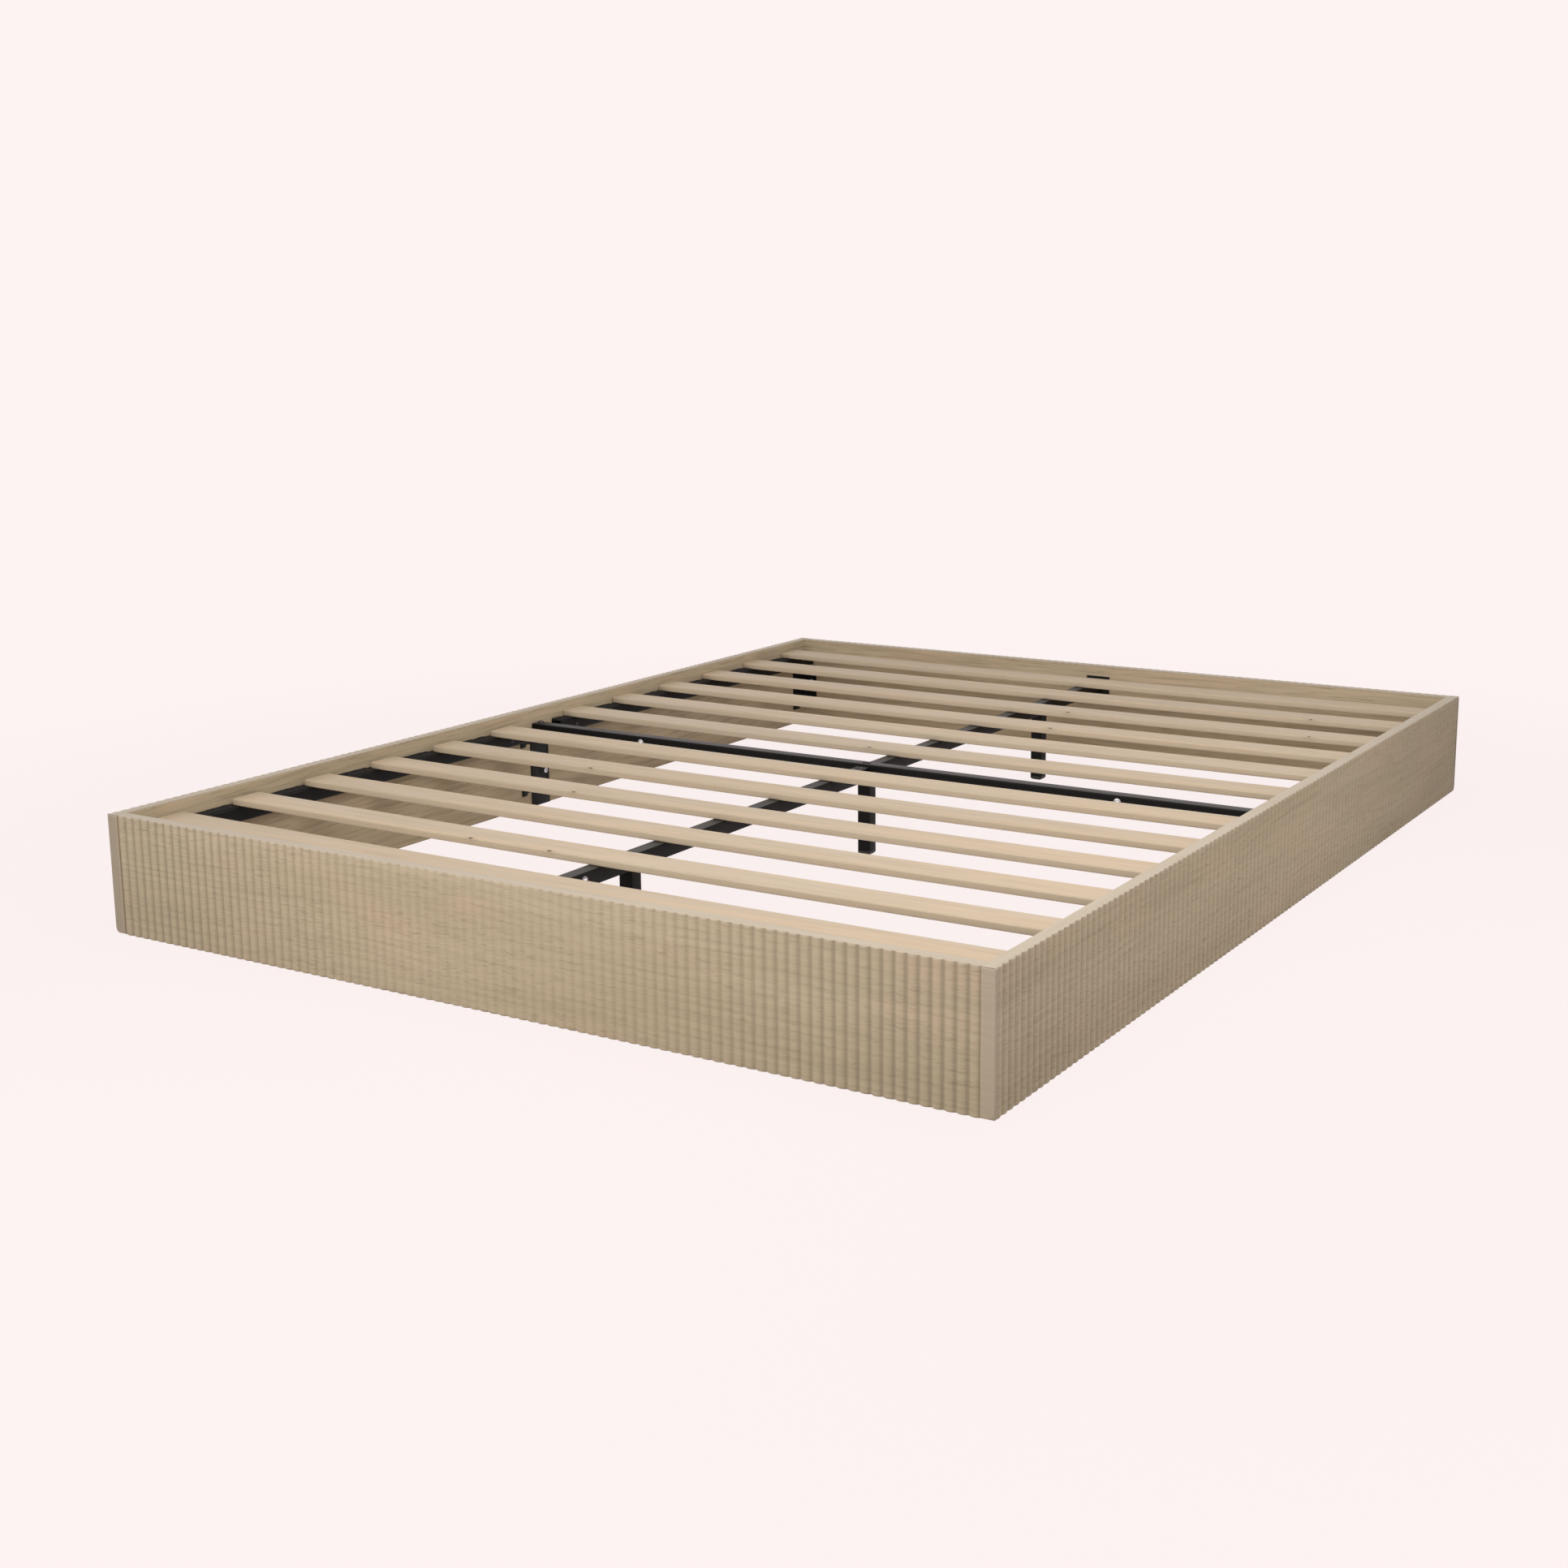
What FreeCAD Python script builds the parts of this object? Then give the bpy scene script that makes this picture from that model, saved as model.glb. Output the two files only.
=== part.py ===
import FreeCAD, Part
import math
import operator
import os
import Sketcher

# Low floor bed frame with fluted wooden sides and a loose slatted base.
# Millimetres, +Z up, origin on the floor under the middle of the bed,
# X across the width, Y along the length (the foot end is towards -Y).

SIZES = {
    # outer size
    "bed_width": 1585.0,
    "bed_length": 2080.0,
    "panel_height": 198.0,
    # fluted panels
    "board_thick": 18.0,
    "flute_depth": 3.0,
    "flute_land": 1.6,
    "flutes_across": 88.0,
    "corner_round": 2.0,
    "post_land": 0.4,
    "band_thick": 1.0,
    # loose slats
    "slat_width": 60.0,
    "slat_thick": 12.0,
    "slat_round": 5.0,
    "slat_offset": 119.0,
    "slat_margin": 75.0,
    "slat_drop": 18.0,
    "slat_end_gap": 6.5,
    "slat_shift": 5.0,
    "slats_per_half": 6.0,
    # square steel tube
    "tube_size": 25.0,
    "tube_wall": 1.5,
    "tube_round": 2.5,
    "felt_thick": 2.5,
    "felt_inset": 1.0,
    "crossbar_rise": 5.0,
    "ledger_clear": 4.0,
    "fit_gap": 0.3,
    "stub_length": 45.0,
    # legs under the middle beam
    "leg_spacing": 718.0,
    "foot_height": 8.0,
    "foot_chamfer": 3.0,
    "plug_height": 15.0,
    "gusset_size": 7.0,
    # sheet steel brackets
    "plate_thick": 2.5,
    "side_wing": 54.0,
    "end_wing": 33.0,
    "bracket_low": 42.0,
    "bracket_clear": 2.5,
    "tab_drop": 8.0,
    "tab_width": 27.0,
    "bracket_bolt_up": 56.0,
    "side_bolt_in": 36.0,
    "end_bolt_in": 20.0,
    "joint_low": -18.0,
    "joint_high": 36.0,
    "hook_reach": 30.0,
    "hook_width": 15.0,
    "hook_depth": 20.0,
    "hook_nib": 5.0,
    "hook_low": 26.0,
    "hook_step": 0.5,
    "joint_bolt_y": 25.0,
    "joint_bolt_z": 67.0,
    "joint_bolt_rise": 30.0,
    "joint_bolt_back": 32.0,
    "shelf_length": 50.0,
    "shelf_width": 34.0,
    "beam_plate_width": 54.0,
    "beam_plate_height": 44.0,
    "beam_bolt_out": 20.0,
    # fasteners
    "bolt_radius": 3.0,
    "bolt_hole": 3.2,
    "head_radius": 5.5,
    "head_height": 3.0,
    "socket_radius": 2.6,
    "socket_depth": 1.8,
    "through_head_radius": 3.9,
    "washer_radius": 7.0,
    "washer_thick": 1.4,
    "nut_radius": 5.6,
    "nut_height": 5.0,
    "pilot_depth": 12.0,
    "bolt_bite": 10.0,
    "screw_radius": 2.0,
    "screw_hole": 2.2,
    "screw_head": 4.0,
    "screw_head_height": 2.0,
    "screw_first": 102.0,
    "screw_margin": 47.0,
    "screws_per_half": 4.0,
    "crossbar_bolt_x": 500.0,
    "beam_bolt_margin": 173.0,
    "end_bolt_margin": 15.5,
    "end_head_radius": 6.3,
    "end_head_height": 4.0,
    "crossing_screw_x": 4.5,
    "crossing_screw_y": 27.0,
    "crossing_bite": 6.0,
}

OPERATIONS = {
    "+": operator.add,
    "-": operator.sub,
    "*": operator.mul,
    "/": operator.truediv,
}
TURNS = {
    "+X": FreeCAD.Rotation(FreeCAD.Vector(0, 1, 0), 90),
    "-X": FreeCAD.Rotation(FreeCAD.Vector(0, 1, 0), -90),
    "+Y": FreeCAD.Rotation(FreeCAD.Vector(1, 0, 0), -90),
    "-Y": FreeCAD.Rotation(FreeCAD.Vector(1, 0, 0), 90),
    "+Z": FreeCAD.Rotation(),
    "-Z": FreeCAD.Rotation(FreeCAD.Vector(1, 0, 0), 180),
}
SIDES = {"left": -1, "right": 1}
ENDS = {"front": -1, "rear": 1}

doc = FreeCAD.newDocument("floor_bed_frame")
sheet = doc.addObject("Spreadsheet::Sheet", "dims")
for row, (alias, number) in enumerate(SIZES.items(), 1):
    sheet.set("A%d" % row, alias.replace("_", " "))
    sheet.set("B%d" % row, str(number))
    sheet.setAlias("B%d" % row, alias)
doc.recompute()


class Size:
    """A value together with the cell formula that drives it."""

    def __init__(self, text, value):
        self.text = text
        self.value = value

    def joined(self, sign, other, swapped=False):
        pair = (sized(other), self) if swapped else (self, sized(other))
        value = OPERATIONS[sign](pair[0].value, pair[1].value)
        return Size("(%s %s %s)" % (pair[0].text, sign, pair[1].text), value)

    def __add__(self, other):
        return self.joined("+", other)

    def __radd__(self, other):
        return self.joined("+", other, True)

    def __sub__(self, other):
        return self.joined("-", other)

    def __rsub__(self, other):
        return self.joined("-", other, True)

    def __mul__(self, other):
        return self.joined("*", other)

    def __rmul__(self, other):
        return self.joined("*", other, True)

    def __truediv__(self, other):
        return self.joined("/", other)

    def __neg__(self):
        return self.joined("*", -1)


def sized(thing):
    return thing if isinstance(thing, Size) else Size("(%s)" % thing, float(thing))


def cell(alias):
    return Size("dims.%s" % alias, SIZES[alias])


def whole(size):
    """The size rounded down to a whole number."""
    return Size("floor%s" % size.text, math.floor(size.value))


def bind(target, **formulas):
    """Drive properties of an object from the cells."""
    for name, size in formulas.items():
        target.setExpression(name.replace("__", "."), sized(size).text)


def place(target, x, y, z, rotation=None):
    rotation = rotation or FreeCAD.Rotation()
    target.Placement = FreeCAD.Placement(FreeCAD.Vector(), rotation)
    bind(target, Placement__Base__x=x, Placement__Base__y=y, Placement__Base__z=z)
    return target


def about_z(degrees):
    return FreeCAD.Rotation(FreeCAD.Vector(0, 0, 1), degrees)


# ---- PartDesign helpers ----

nodes = []


def new_body(label):
    made = doc.addObject("PartDesign::Body", label)
    made.Label = label
    nodes.append(made)
    return made


def new_sketch(owner, role):
    plane = [f for f in owner.Origin.OriginFeatures if f.Role == role][0]
    made = owner.newObject("Sketcher::SketchObject", owner.Name + "_sketch")
    made.AttachmentSupport = (plane, [""])
    made.MapMode = "FlatFace"
    return made


def pin(sketch, geometry, point, x, y):
    """Fix one sketch point with driven distances from the origin."""
    for kind, size, axis in (("DistanceX", x, -2), ("DistanceY", y, -1)):
        size = sized(size)
        if size.value == 0:
            on_axis = Sketcher.Constraint("PointOnObject", geometry, point, axis)
            sketch.addConstraint(on_axis)
        else:
            distance = Sketcher.Constraint(kind, -1, 1, geometry, point, size.value)
            number = sketch.addConstraint(distance)
            sketch.setExpression("Constraints[%d]" % number, size.text)


def outline(owner, role, corners):
    """Closed straight-sided profile."""
    sketch = new_sketch(owner, role)
    spots = [FreeCAD.Vector(sized(x).value, sized(y).value, 0) for x, y in corners]
    total = len(spots)
    for index in range(total):
        end = spots[(index + 1) % total]
        sketch.addGeometry(Part.LineSegment(spots[index], end))
    for index in range(total):
        meet = Sketcher.Constraint("Coincident", index, 2, (index + 1) % total, 1)
        sketch.addConstraint(meet)
    for index, (x, y) in enumerate(corners):
        pin(sketch, index, 1, x, y)
    return sketch


def box_outline(owner, role, low, high):
    (x0, y0), (x1, y1) = low, high
    return outline(owner, role, [(x0, y0), (x1, y0), (x1, y1), (x0, y1)])


def circles(owner, role, centres, radius):
    sketch = new_sketch(owner, role)
    for x, y in centres:
        middle = FreeCAD.Vector(sized(x).value, sized(y).value, 0)
        ring = Part.Circle(middle, FreeCAD.Vector(0, 0, 1), radius.value)
        index = sketch.addGeometry(ring)
        pin(sketch, index, 3, x, y)
        size = Sketcher.Constraint("Radius", index, radius.value)
        number = sketch.addConstraint(size)
        sketch.setExpression("Constraints[%d]" % number, radius.text)
    return sketch


def pad(owner, sketch, length, back=False):
    made = owner.newObject("PartDesign::Pad", owner.Name + "_pad")
    made.Profile = sketch
    made.Length = length.value
    made.Reversed = back
    bind(made, Length=length)
    doc.recompute()
    return made


def pocket(owner, sketch, depth=None, back=False):
    """Cut against the sketch normal, or along it when back is set."""
    before = owner.Shape.Volume
    made = owner.newObject("PartDesign::Pocket", owner.Name + "_pocket")
    made.Profile = sketch
    made.Reversed = back
    if depth is None:
        made.Type = "ThroughAll"
    else:
        made.Length = depth.value
        bind(made, Length=depth)
    doc.recompute()
    if not owner.Shape.Volume < before - 1e-3:
        raise ValueError("pocket misses the solid: " + owner.Label)
    return made


def pattern(owner, feature, step, count, back=False):
    made = owner.newObject("PartDesign::LinearPattern", owner.Name + "_row")
    made.Originals = [feature]
    axis = [f for f in owner.Origin.OriginFeatures if f.Role == "X_Axis"][0]
    made.Direction = (axis, [""])
    made.Reversed = back
    bind(made, Length=step * (count - 1), Occurrences=count)
    owner.Tip = made
    doc.recompute()
    return made


def dressed(owner, kind, size, wanted):
    """Fillet or chamfer the edges of the tip that the test picks."""
    tip = owner.Tip
    names = [
        "Edge%d" % (index + 1)
        for index, edge in enumerate(tip.Shape.Edges)
        if wanted(edge)
    ]
    made = owner.newObject("PartDesign::" + kind, owner.Name + "_" + kind.lower())
    made.Base = (tip, names)
    if kind == "Fillet":
        made.Radius = size.value
        bind(made, Radius=size)
    else:
        made.Size = size.value
        bind(made, Size=size)
    doc.recompute()
    return made


def runs_along(axis, length):
    """Test for straight edges of one length along an axis."""

    def wanted(edge):
        ends = [v.Point for v in edge.Vertexes]
        if len(ends) < 2:
            return False
        reach = abs((ends[1] - ends[0]).dot(FreeCAD.Vector(*axis)))
        return abs(reach - length) < 1e-4 and abs(edge.Length - length) < 1e-4

    return wanted


# ---- shared positions ----

half_width = cell("bed_width") / 2
half_length = cell("bed_length") / 2
panel_thick = cell("board_thick") + cell("flute_depth")
wall_x = half_width - panel_thick
wall_y = half_length - panel_thick
flute_pitch = wall_x * 2 / cell("flutes_across")
post_least = cell("corner_round") + cell("post_land")
flutes_per_half = whole((half_length - post_least) / flute_pitch)
post_width = half_length - flute_pitch * flutes_per_half
board_height = cell("panel_height") - cell("band_thick")
tube = cell("tube_size")
slat_low = cell("panel_height") - cell("slat_drop") - cell("slat_thick")
rail_top = slat_low - cell("felt_thick")
rail_low = rail_top - tube
rail_middle = rail_top - tube / 2
crossbar_low = rail_low + cell("crossbar_rise")
core = tube - cell("tube_wall") * 2 - cell("fit_gap") * 2
core_inset = (tube - core) / 2
stub_low = rail_low + core_inset
plate = cell("plate_thick")
beam_start = wall_y - plate - cell("fit_gap")
beam_stop = tube / 2 + cell("fit_gap")
shelf_low = crossbar_low - plate
bracket_bolt_z = cell("bracket_low") + cell("bracket_bolt_up")
hook_high = crossbar_low - cell("hook_step") - cell("hook_depth")
ledger_stop = cell("hook_reach") - cell("joint_low") + cell("ledger_clear")
beam_bolt_y = wall_y - cell("beam_bolt_margin")
end_bolt_x = wall_x - cell("end_bolt_margin")


def spread(first, last, count):
    """Evenly spaced places from the first to the last."""
    step = (last - first) / (count - 1)
    return [first + step * index for index in range(count)]


ledger_screws_at = spread(
    cell("screw_first"),
    wall_y - cell("screw_margin"),
    int(SIZES["screws_per_half"]),
)
slats_at = spread(
    cell("slat_offset"), wall_y - cell("slat_margin"), int(SIZES["slats_per_half"])
)
joint_bolts_at = [
    (cell("joint_bolt_y"), cell("joint_bolt_z")),
    (cell("joint_bolt_y"), cell("joint_bolt_z") + cell("joint_bolt_rise")),
    (
        cell("joint_bolt_y") - cell("joint_bolt_back"),
        cell("joint_bolt_z") + cell("joint_bolt_rise"),
    ),
]


# ---- fluted panels and their edge bands ----


def fluted_row(owner, first, pitch, count, height, back):
    """One convex rib on the outer face, repeated along the board."""
    chord = pitch - cell("flute_land")
    rise = cell("flute_depth")
    radius = (chord * chord / 4 + rise * rise) / (rise * 2)
    sketch = new_sketch(owner, "XY_Plane")
    face = cell("board_thick")
    left, right = first - chord / 2, first + chord / 2
    crest = face + rise
    a = FreeCAD.Vector(left.value, face.value, 0)
    b = FreeCAD.Vector(right.value, face.value, 0)
    top = FreeCAD.Vector(sized(first).value, crest.value, 0)
    sketch.addGeometry(Part.LineSegment(a, b))
    sketch.addGeometry(Part.Arc(b, top, a))
    sketch.addConstraint(Sketcher.Constraint("Coincident", 0, 2, 1, 1))
    sketch.addConstraint(Sketcher.Constraint("Coincident", 0, 1, 1, 2))
    pin(sketch, 0, 1, left, face)
    pin(sketch, 0, 2, right, face)
    bend = sketch.addConstraint(Sketcher.Constraint("Radius", 1, radius.value))
    sketch.setExpression("Constraints[%d]" % bend, radius.text)
    rib = pad(owner, sketch, height)
    pattern(owner, rib, pitch, count, back)


def fluted_board(label, height, span, hand=0):
    """A board with ribs: centred when hand is 0, else to one side of the seam
    with a plain rounded post at its outer end."""
    owner = new_body(label)
    if hand == 0:
        low, high = -span / 2, span / 2
        count = cell("flutes_across")
        first = low + flute_pitch / 2
    else:
        low, high = sized(0), span * hand
        count = flutes_per_half
        first = flute_pitch / 2 * hand
    face = cell("board_thick")
    pad(owner, box_outline(owner, "XY_Plane", (low, 0), (high, face)), height)
    if hand:
        inner = high - post_width * hand
        corner = (high, panel_thick)
        pad(owner, box_outline(owner, "XY_Plane", (inner, 0), corner), height)
    fluted_row(owner, first, flute_pitch, count, height, hand < 0)
    if hand:
        outer = FreeCAD.Vector(high.value, panel_thick.value, height.value / 2)
        dressed(
            owner,
            "Fillet",
            cell("corner_round"),
            lambda edge: edge.CenterOfMass.distanceToPoint(outer) < 1e-3,
        )
    return owner


def pilot_holes(owner, spots, radius):
    """Blind holes in the inner face for the fixings."""
    if spots:
        marks = circles(owner, "XZ_Plane", spots, radius)
        pocket(owner, marks, cell("pilot_depth"))


end_spots = [
    (side * (wall_x - cell("end_bolt_in")), bracket_bolt_z)
    for side in SIDES.values()
] + [(side * cell("beam_bolt_out"), rail_middle) for side in SIDES.values()]
for end, way in ENDS.items():
    turn = about_z(0 if way > 0 else 180)
    name = "back" if way > 0 else "front"
    panel = fluted_board(name + "_panel", board_height, wall_x * 2)
    pilot_holes(panel, end_spots, cell("bolt_hole"))
    place(panel, 0, wall_y * way, 0, turn)
    band = fluted_board(name + "_edge_band", cell("band_thick"), wall_x * 2)
    place(band, 0, wall_y * way, board_height, turn)

for side, across in SIDES.items():
    for end, way in ENDS.items():
        turn = about_z(-90 * across)
        hand = -across * way
        panel = fluted_board(
            "side_panel_%s_%s" % (side, end), board_height, half_length, hand
        )
        spots = [(spot * hand, rail_middle) for spot in ledger_screws_at]
        pilot_holes(panel, spots, cell("screw_hole"))
        bolts = [
            (
                (wall_y - cell("side_bolt_in")) * hand,
                bracket_bolt_z,
            )
        ] + [(y * -across, z) for y, z in joint_bolts_at if y.value * way > 0]
        pilot_holes(panel, bolts, cell("bolt_hole"))
        place(panel, wall_x * across, 0, 0, turn)
        band = fluted_board(
            "edge_band_%s_%s" % (side, end), cell("band_thick"), half_length, hand
        )
        place(band, wall_x * across, 0, board_height, turn)


# ---- square tubes ----


def square_tube(label, length):
    """Tube along +X with its section from 0 to tube_size in Y and Z."""
    owner = new_body(label)
    wall = cell("tube_wall")
    pad(owner, box_outline(owner, "YZ_Plane", (0, 0), (tube, tube)), length)
    dressed(
        owner, "Fillet", cell("tube_round"), runs_along((1, 0, 0), length.value)
    )
    far = tube - wall
    hollow = box_outline(owner, "YZ_Plane", (wall, wall), (far, far))
    pocket(owner, hollow, back=True)
    return owner


ledger_length = wall_y - ledger_stop
for side, across in SIDES.items():
    for end, way in ENDS.items():
        name = "%s_%s" % (side, end)
        start = ledger_stop if way > 0 else -wall_y
        inner = (wall_x - tube) * -1 if across < 0 else wall_x
        ledger = square_tube("ledger_" + name, ledger_length)
        marks = [
            (spot * way - start, tube / 2)
            for spot in ledger_screws_at
        ]
        pocket(ledger, circles(ledger, "XZ_Plane", marks, cell("screw_hole")))
        place(ledger, inner, start, rail_low, about_z(90))

        strip = new_body("felt_strip_" + name)
        inset = cell("felt_inset")
        soft = box_outline(
            strip, "XY_Plane", (inset, 0), (tube - inset, ledger_length)
        )
        pad(strip, soft, cell("felt_thick"))
        place(strip, inner - tube, start, rail_top)

# ---- crossbar with its through stub, and the two half beams ----

bar_half = wall_x - plate - cell("fit_gap")
crossbar = square_tube("crossbar", bar_half * 2)
stub_side = (core / 2, stub_low - crossbar_low)
stub_box = [
    (bar_half - stub_side[0], stub_side[1]),
    (bar_half + stub_side[0], stub_side[1] + core),
]
pad(crossbar, box_outline(crossbar, "XZ_Plane", *stub_box), cell("stub_length"))
reach = tube + cell("stub_length")
pad(crossbar, box_outline(crossbar, "XZ_Plane", *stub_box), reach, back=True)
across_marks = [
    (bar_half + cell("crossbar_bolt_x") * s, tube / 2) for s in SIDES.values()
]
pocket(crossbar, circles(crossbar, "XZ_Plane", across_marks, cell("bolt_hole")))
down_marks = [
    (bar_half + end_bolt_x * s, tube / 2) for s in SIDES.values()
]
pocket(
    crossbar, circles(crossbar, "XY_Plane", down_marks, cell("bolt_hole")), back=True
)
crossing_spots = [
    (cell("crossing_screw_x") * s, cell("crossing_screw_y") * e)
    for s in SIDES.values()
    for e in ENDS.values()
]
top_spots = [(cell("crossing_screw_x") * s, sized(0)) for s in SIDES.values()]
stub_marks = [(bar_half + x, tube / 2 + y) for x, y in crossing_spots + top_spots]
pocket(
    crossbar, circles(crossbar, "XY_Plane", stub_marks, cell("screw_hole")), back=True
)
place(crossbar, -bar_half, -tube / 2, crossbar_low)

beam_length = beam_start - beam_stop
for end, way in ENDS.items():
    start = beam_stop if way > 0 else -beam_start
    beam = square_tube("centre_beam_" + end, beam_length)
    bolt_at = beam_bolt_y * way - start
    pocket(
        beam,
        circles(beam, "XZ_Plane", [(bolt_at, tube / 2)], cell("bolt_hole")),
    )
    marks = [
        (y - start, tube / 2 + x)
        for x, y in crossing_spots
        if y.value * way > 0
    ]
    pocket(beam, circles(beam, "XY_Plane", marks, cell("screw_hole")), back=True)
    place(beam, tube / 2, start, rail_low, about_z(90))

    # wall plate with a stub that fills the end of the beam
    holder = new_body("beam_bracket_" + end)
    wide, tall = cell("beam_plate_width") / 2, cell("beam_plate_height") / 2
    pad(
        holder,
        box_outline(holder, "XZ_Plane", (-wide, -tall), (wide, tall)),
        plate,
    )
    square = core / 2
    pad(
        holder,
        box_outline(holder, "XZ_Plane", (-square, -square), (square, square)),
        plate + cell("stub_length"),
    )
    marks = [(cell("beam_bolt_out") * s, sized(0)) for s in SIDES.values()]
    pocket(
        holder, circles(holder, "XZ_Plane", marks, cell("bolt_hole")), back=True
    )
    place(holder, 0, wall_y * way, rail_middle, about_z(0 if way > 0 else 180))

# ---- legs under the beam, with plastic feet ----

leg_low = cell("foot_height")
for name, row in {"front": -1, "middle": 0, "rear": 1}.items():
    top = rail_low if row else stub_low
    at = cell("leg_spacing") * row
    leg = square_tube("leg_" + name, top - leg_low)
    if row == 0:
        gusset = cell("gusset_size")
        high = rail_low - leg_low
        inner = outline(
            leg,
            "XY_Plane",
            [(high - gusset, 0), (high, 0), (high, -gusset)],
        )
        pad(leg, inner, tube)
    place(leg, tube / 2, at - tube / 2, leg_low, TURNS["-X"])

    foot = new_body("foot_" + name)
    low, high = -tube / 2, tube / 2
    pad(foot, box_outline(foot, "XY_Plane", (low, low), (high, high)), leg_low)
    dressed(
        foot,
        "Chamfer",
        cell("foot_chamfer"),
        lambda edge: edge.BoundBox.ZMax < 1e-6,
    )
    low, high = -core / 2, core / 2
    plug = box_outline(foot, "XY_Plane", (low, low), (high, high))
    pad(foot, plug, leg_low + cell("plug_height"))
    place(foot, 0, at, 0)

# ---- sheet steel brackets ----

for side, across in SIDES.items():
    for end, way in ENDS.items():
        # the rear shape of the other hand, turned half round, fits the front
        hand = across * way
        owner = new_body("corner_bracket_%s_%s" % (side, end))
        side_wing, end_wing = cell("side_wing"), cell("end_wing")
        ell = [
            (0, 0),
            (end_wing * -hand, 0),
            (end_wing * -hand, -plate),
            (plate * -hand, -plate),
            (plate * -hand, -side_wing),
            (0, -side_wing),
        ]
        height = rail_low - cell("bracket_clear") - cell("bracket_low")
        pad(owner, outline(owner, "XY_Plane", ell), height)
        tab = box_outline(
            owner,
            "XY_Plane",
            (0, -side_wing),
            (plate * -hand, cell("tab_width") - side_wing),
        )
        pad(owner, tab, cell("tab_drop"), back=True)
        rise = cell("bracket_bolt_up")
        mark = [(-cell("side_bolt_in"), rise)]
        pocket(
            owner,
            circles(owner, "YZ_Plane", mark, cell("bolt_hole")),
            back=hand < 0,
        )
        mark = [(cell("end_bolt_in") * -hand, rise)]
        pocket(owner, circles(owner, "XZ_Plane", mark, cell("bolt_hole")), back=True)
        place(
            owner,
            wall_x * across,
            wall_y * way,
            cell("bracket_low"),
            about_z(0 if way > 0 else 180),
        )

for side, across in SIDES.items():
    # seam plate with two hooked tongues and the shelf that carries the crossbar
    owner = new_body("joint_bracket_" + side)
    near, far = cell("joint_low"), cell("joint_high")
    tip = near - cell("hook_reach")
    throat = tip + cell("hook_width")
    edge = [(near, sized(0)), (far, sized(0)), (far, crossbar_low)]
    edge.append((near, crossbar_low))
    for base in (hook_high, cell("hook_low")):
        upper = base + cell("hook_depth")
        nib = base + cell("hook_nib")
        edge += [(near, upper), (tip, upper), (tip, base)]
        edge += [(throat, base), (throat, nib), (near, nib)]
    pad(owner, outline(owner, "YZ_Plane", edge), plate, back=across > 0)
    wide = cell("shelf_width") / 2
    shelf = box_outline(
        owner,
        "YZ_Plane",
        (-wide, shelf_low),
        (wide, crossbar_low),
    )
    pad(owner, shelf, cell("shelf_length"), back=across > 0)
    marks = circles(owner, "YZ_Plane", joint_bolts_at, cell("bolt_hole"))
    pocket(owner, marks, plate * 2, back=across < 0)
    down = [((wall_x - end_bolt_x) * -across, sized(0))]
    pocket(
        owner, circles(owner, "XY_Plane", down, cell("bolt_hole")), back=True
    )
    place(owner, wall_x * across, 0, 0)

# ---- loose slats ----

slat_length = (wall_x - cell("slat_end_gap")) * 2
slat_rows = [-at for at in reversed(slats_at)] + slats_at
for number, at in enumerate(slat_rows, 1):
    # loose slats: a little to the right before the crossbar, to the left behind it
    aside = cell("slat_shift") if number <= len(slats_at) else -cell("slat_shift")
    slat = new_body("slat_%02d" % number)
    wide, thick = cell("slat_width") / 2, cell("slat_thick")
    section = box_outline(slat, "YZ_Plane", (-wide, 0), (wide, thick))
    pad(slat, section, slat_length)
    dressed(
        slat, "Fillet", cell("slat_round"), runs_along((1, 0, 0), slat_length.value)
    )
    place(slat, aside - slat_length / 2, at, slat_low)


# ---- fasteners: Part primitives, identical ones grouped in one node ----


def step_along(spot, direction, distance):
    axis = {"X": 0, "Y": 1, "Z": 2}[direction[1]]
    moved = list(spot)
    sign = 1 if direction[0] == "+" else -1
    moved[axis] = moved[axis] + sized(distance) * sign
    return moved


def rod(spot, direction, radius, length):
    made = doc.addObject("Part::Cylinder", "rod")
    place(made, *spot, TURNS[direction])
    bind(made, Radius=radius, Height=length)
    return made


def hexagon(spot, direction, radius, length):
    made = doc.addObject("Part::Prism", "hexagon")
    made.Polygon = 6
    place(made, *spot, TURNS[direction])
    bind(made, Circumradius=radius, Height=length)
    return made


def bolt(spot, direction, head, height, shank, length):
    """Socket head standing on a face at spot, shank running the other way."""
    top = rod(spot, direction, head, height)
    inward = {"+": "-", "-": "+"}[direction[0]] + direction[1]
    stem = rod(step_along(spot, direction, height / 4), inward, shank,
               sized(length) + height / 4)
    whole = doc.addObject("Part::MultiFuse", "bolt")
    whole.Shapes = [top, stem]
    recess = hexagon(
        step_along(spot, direction, height - cell("socket_depth")),
        direction,
        cell("socket_radius"),
        cell("socket_depth") * 2,
    )
    made = doc.addObject("Part::Cut", "socket_bolt")
    made.Base, made.Tool = whole, recess
    return made


def screw(spot, direction, length):
    """Small plain-headed screw."""
    top = rod(spot, direction, cell("screw_head"), cell("screw_head_height"))
    inward = {"+": "-", "-": "+"}[direction[0]] + direction[1]
    stem = rod(spot, inward, cell("screw_radius"), length)
    made = doc.addObject("Part::MultiFuse", "screw")
    made.Shapes = [top, stem]
    return made


def washer(spot, direction):
    disc = rod(spot, direction, cell("washer_radius"), cell("washer_thick"))
    hole = rod(
        step_along(spot, direction, -cell("washer_thick")),
        direction,
        cell("bolt_hole"),
        cell("washer_thick") * 3,
    )
    made = doc.addObject("Part::Cut", "washer")
    made.Base, made.Tool = disc, hole
    return made


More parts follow.
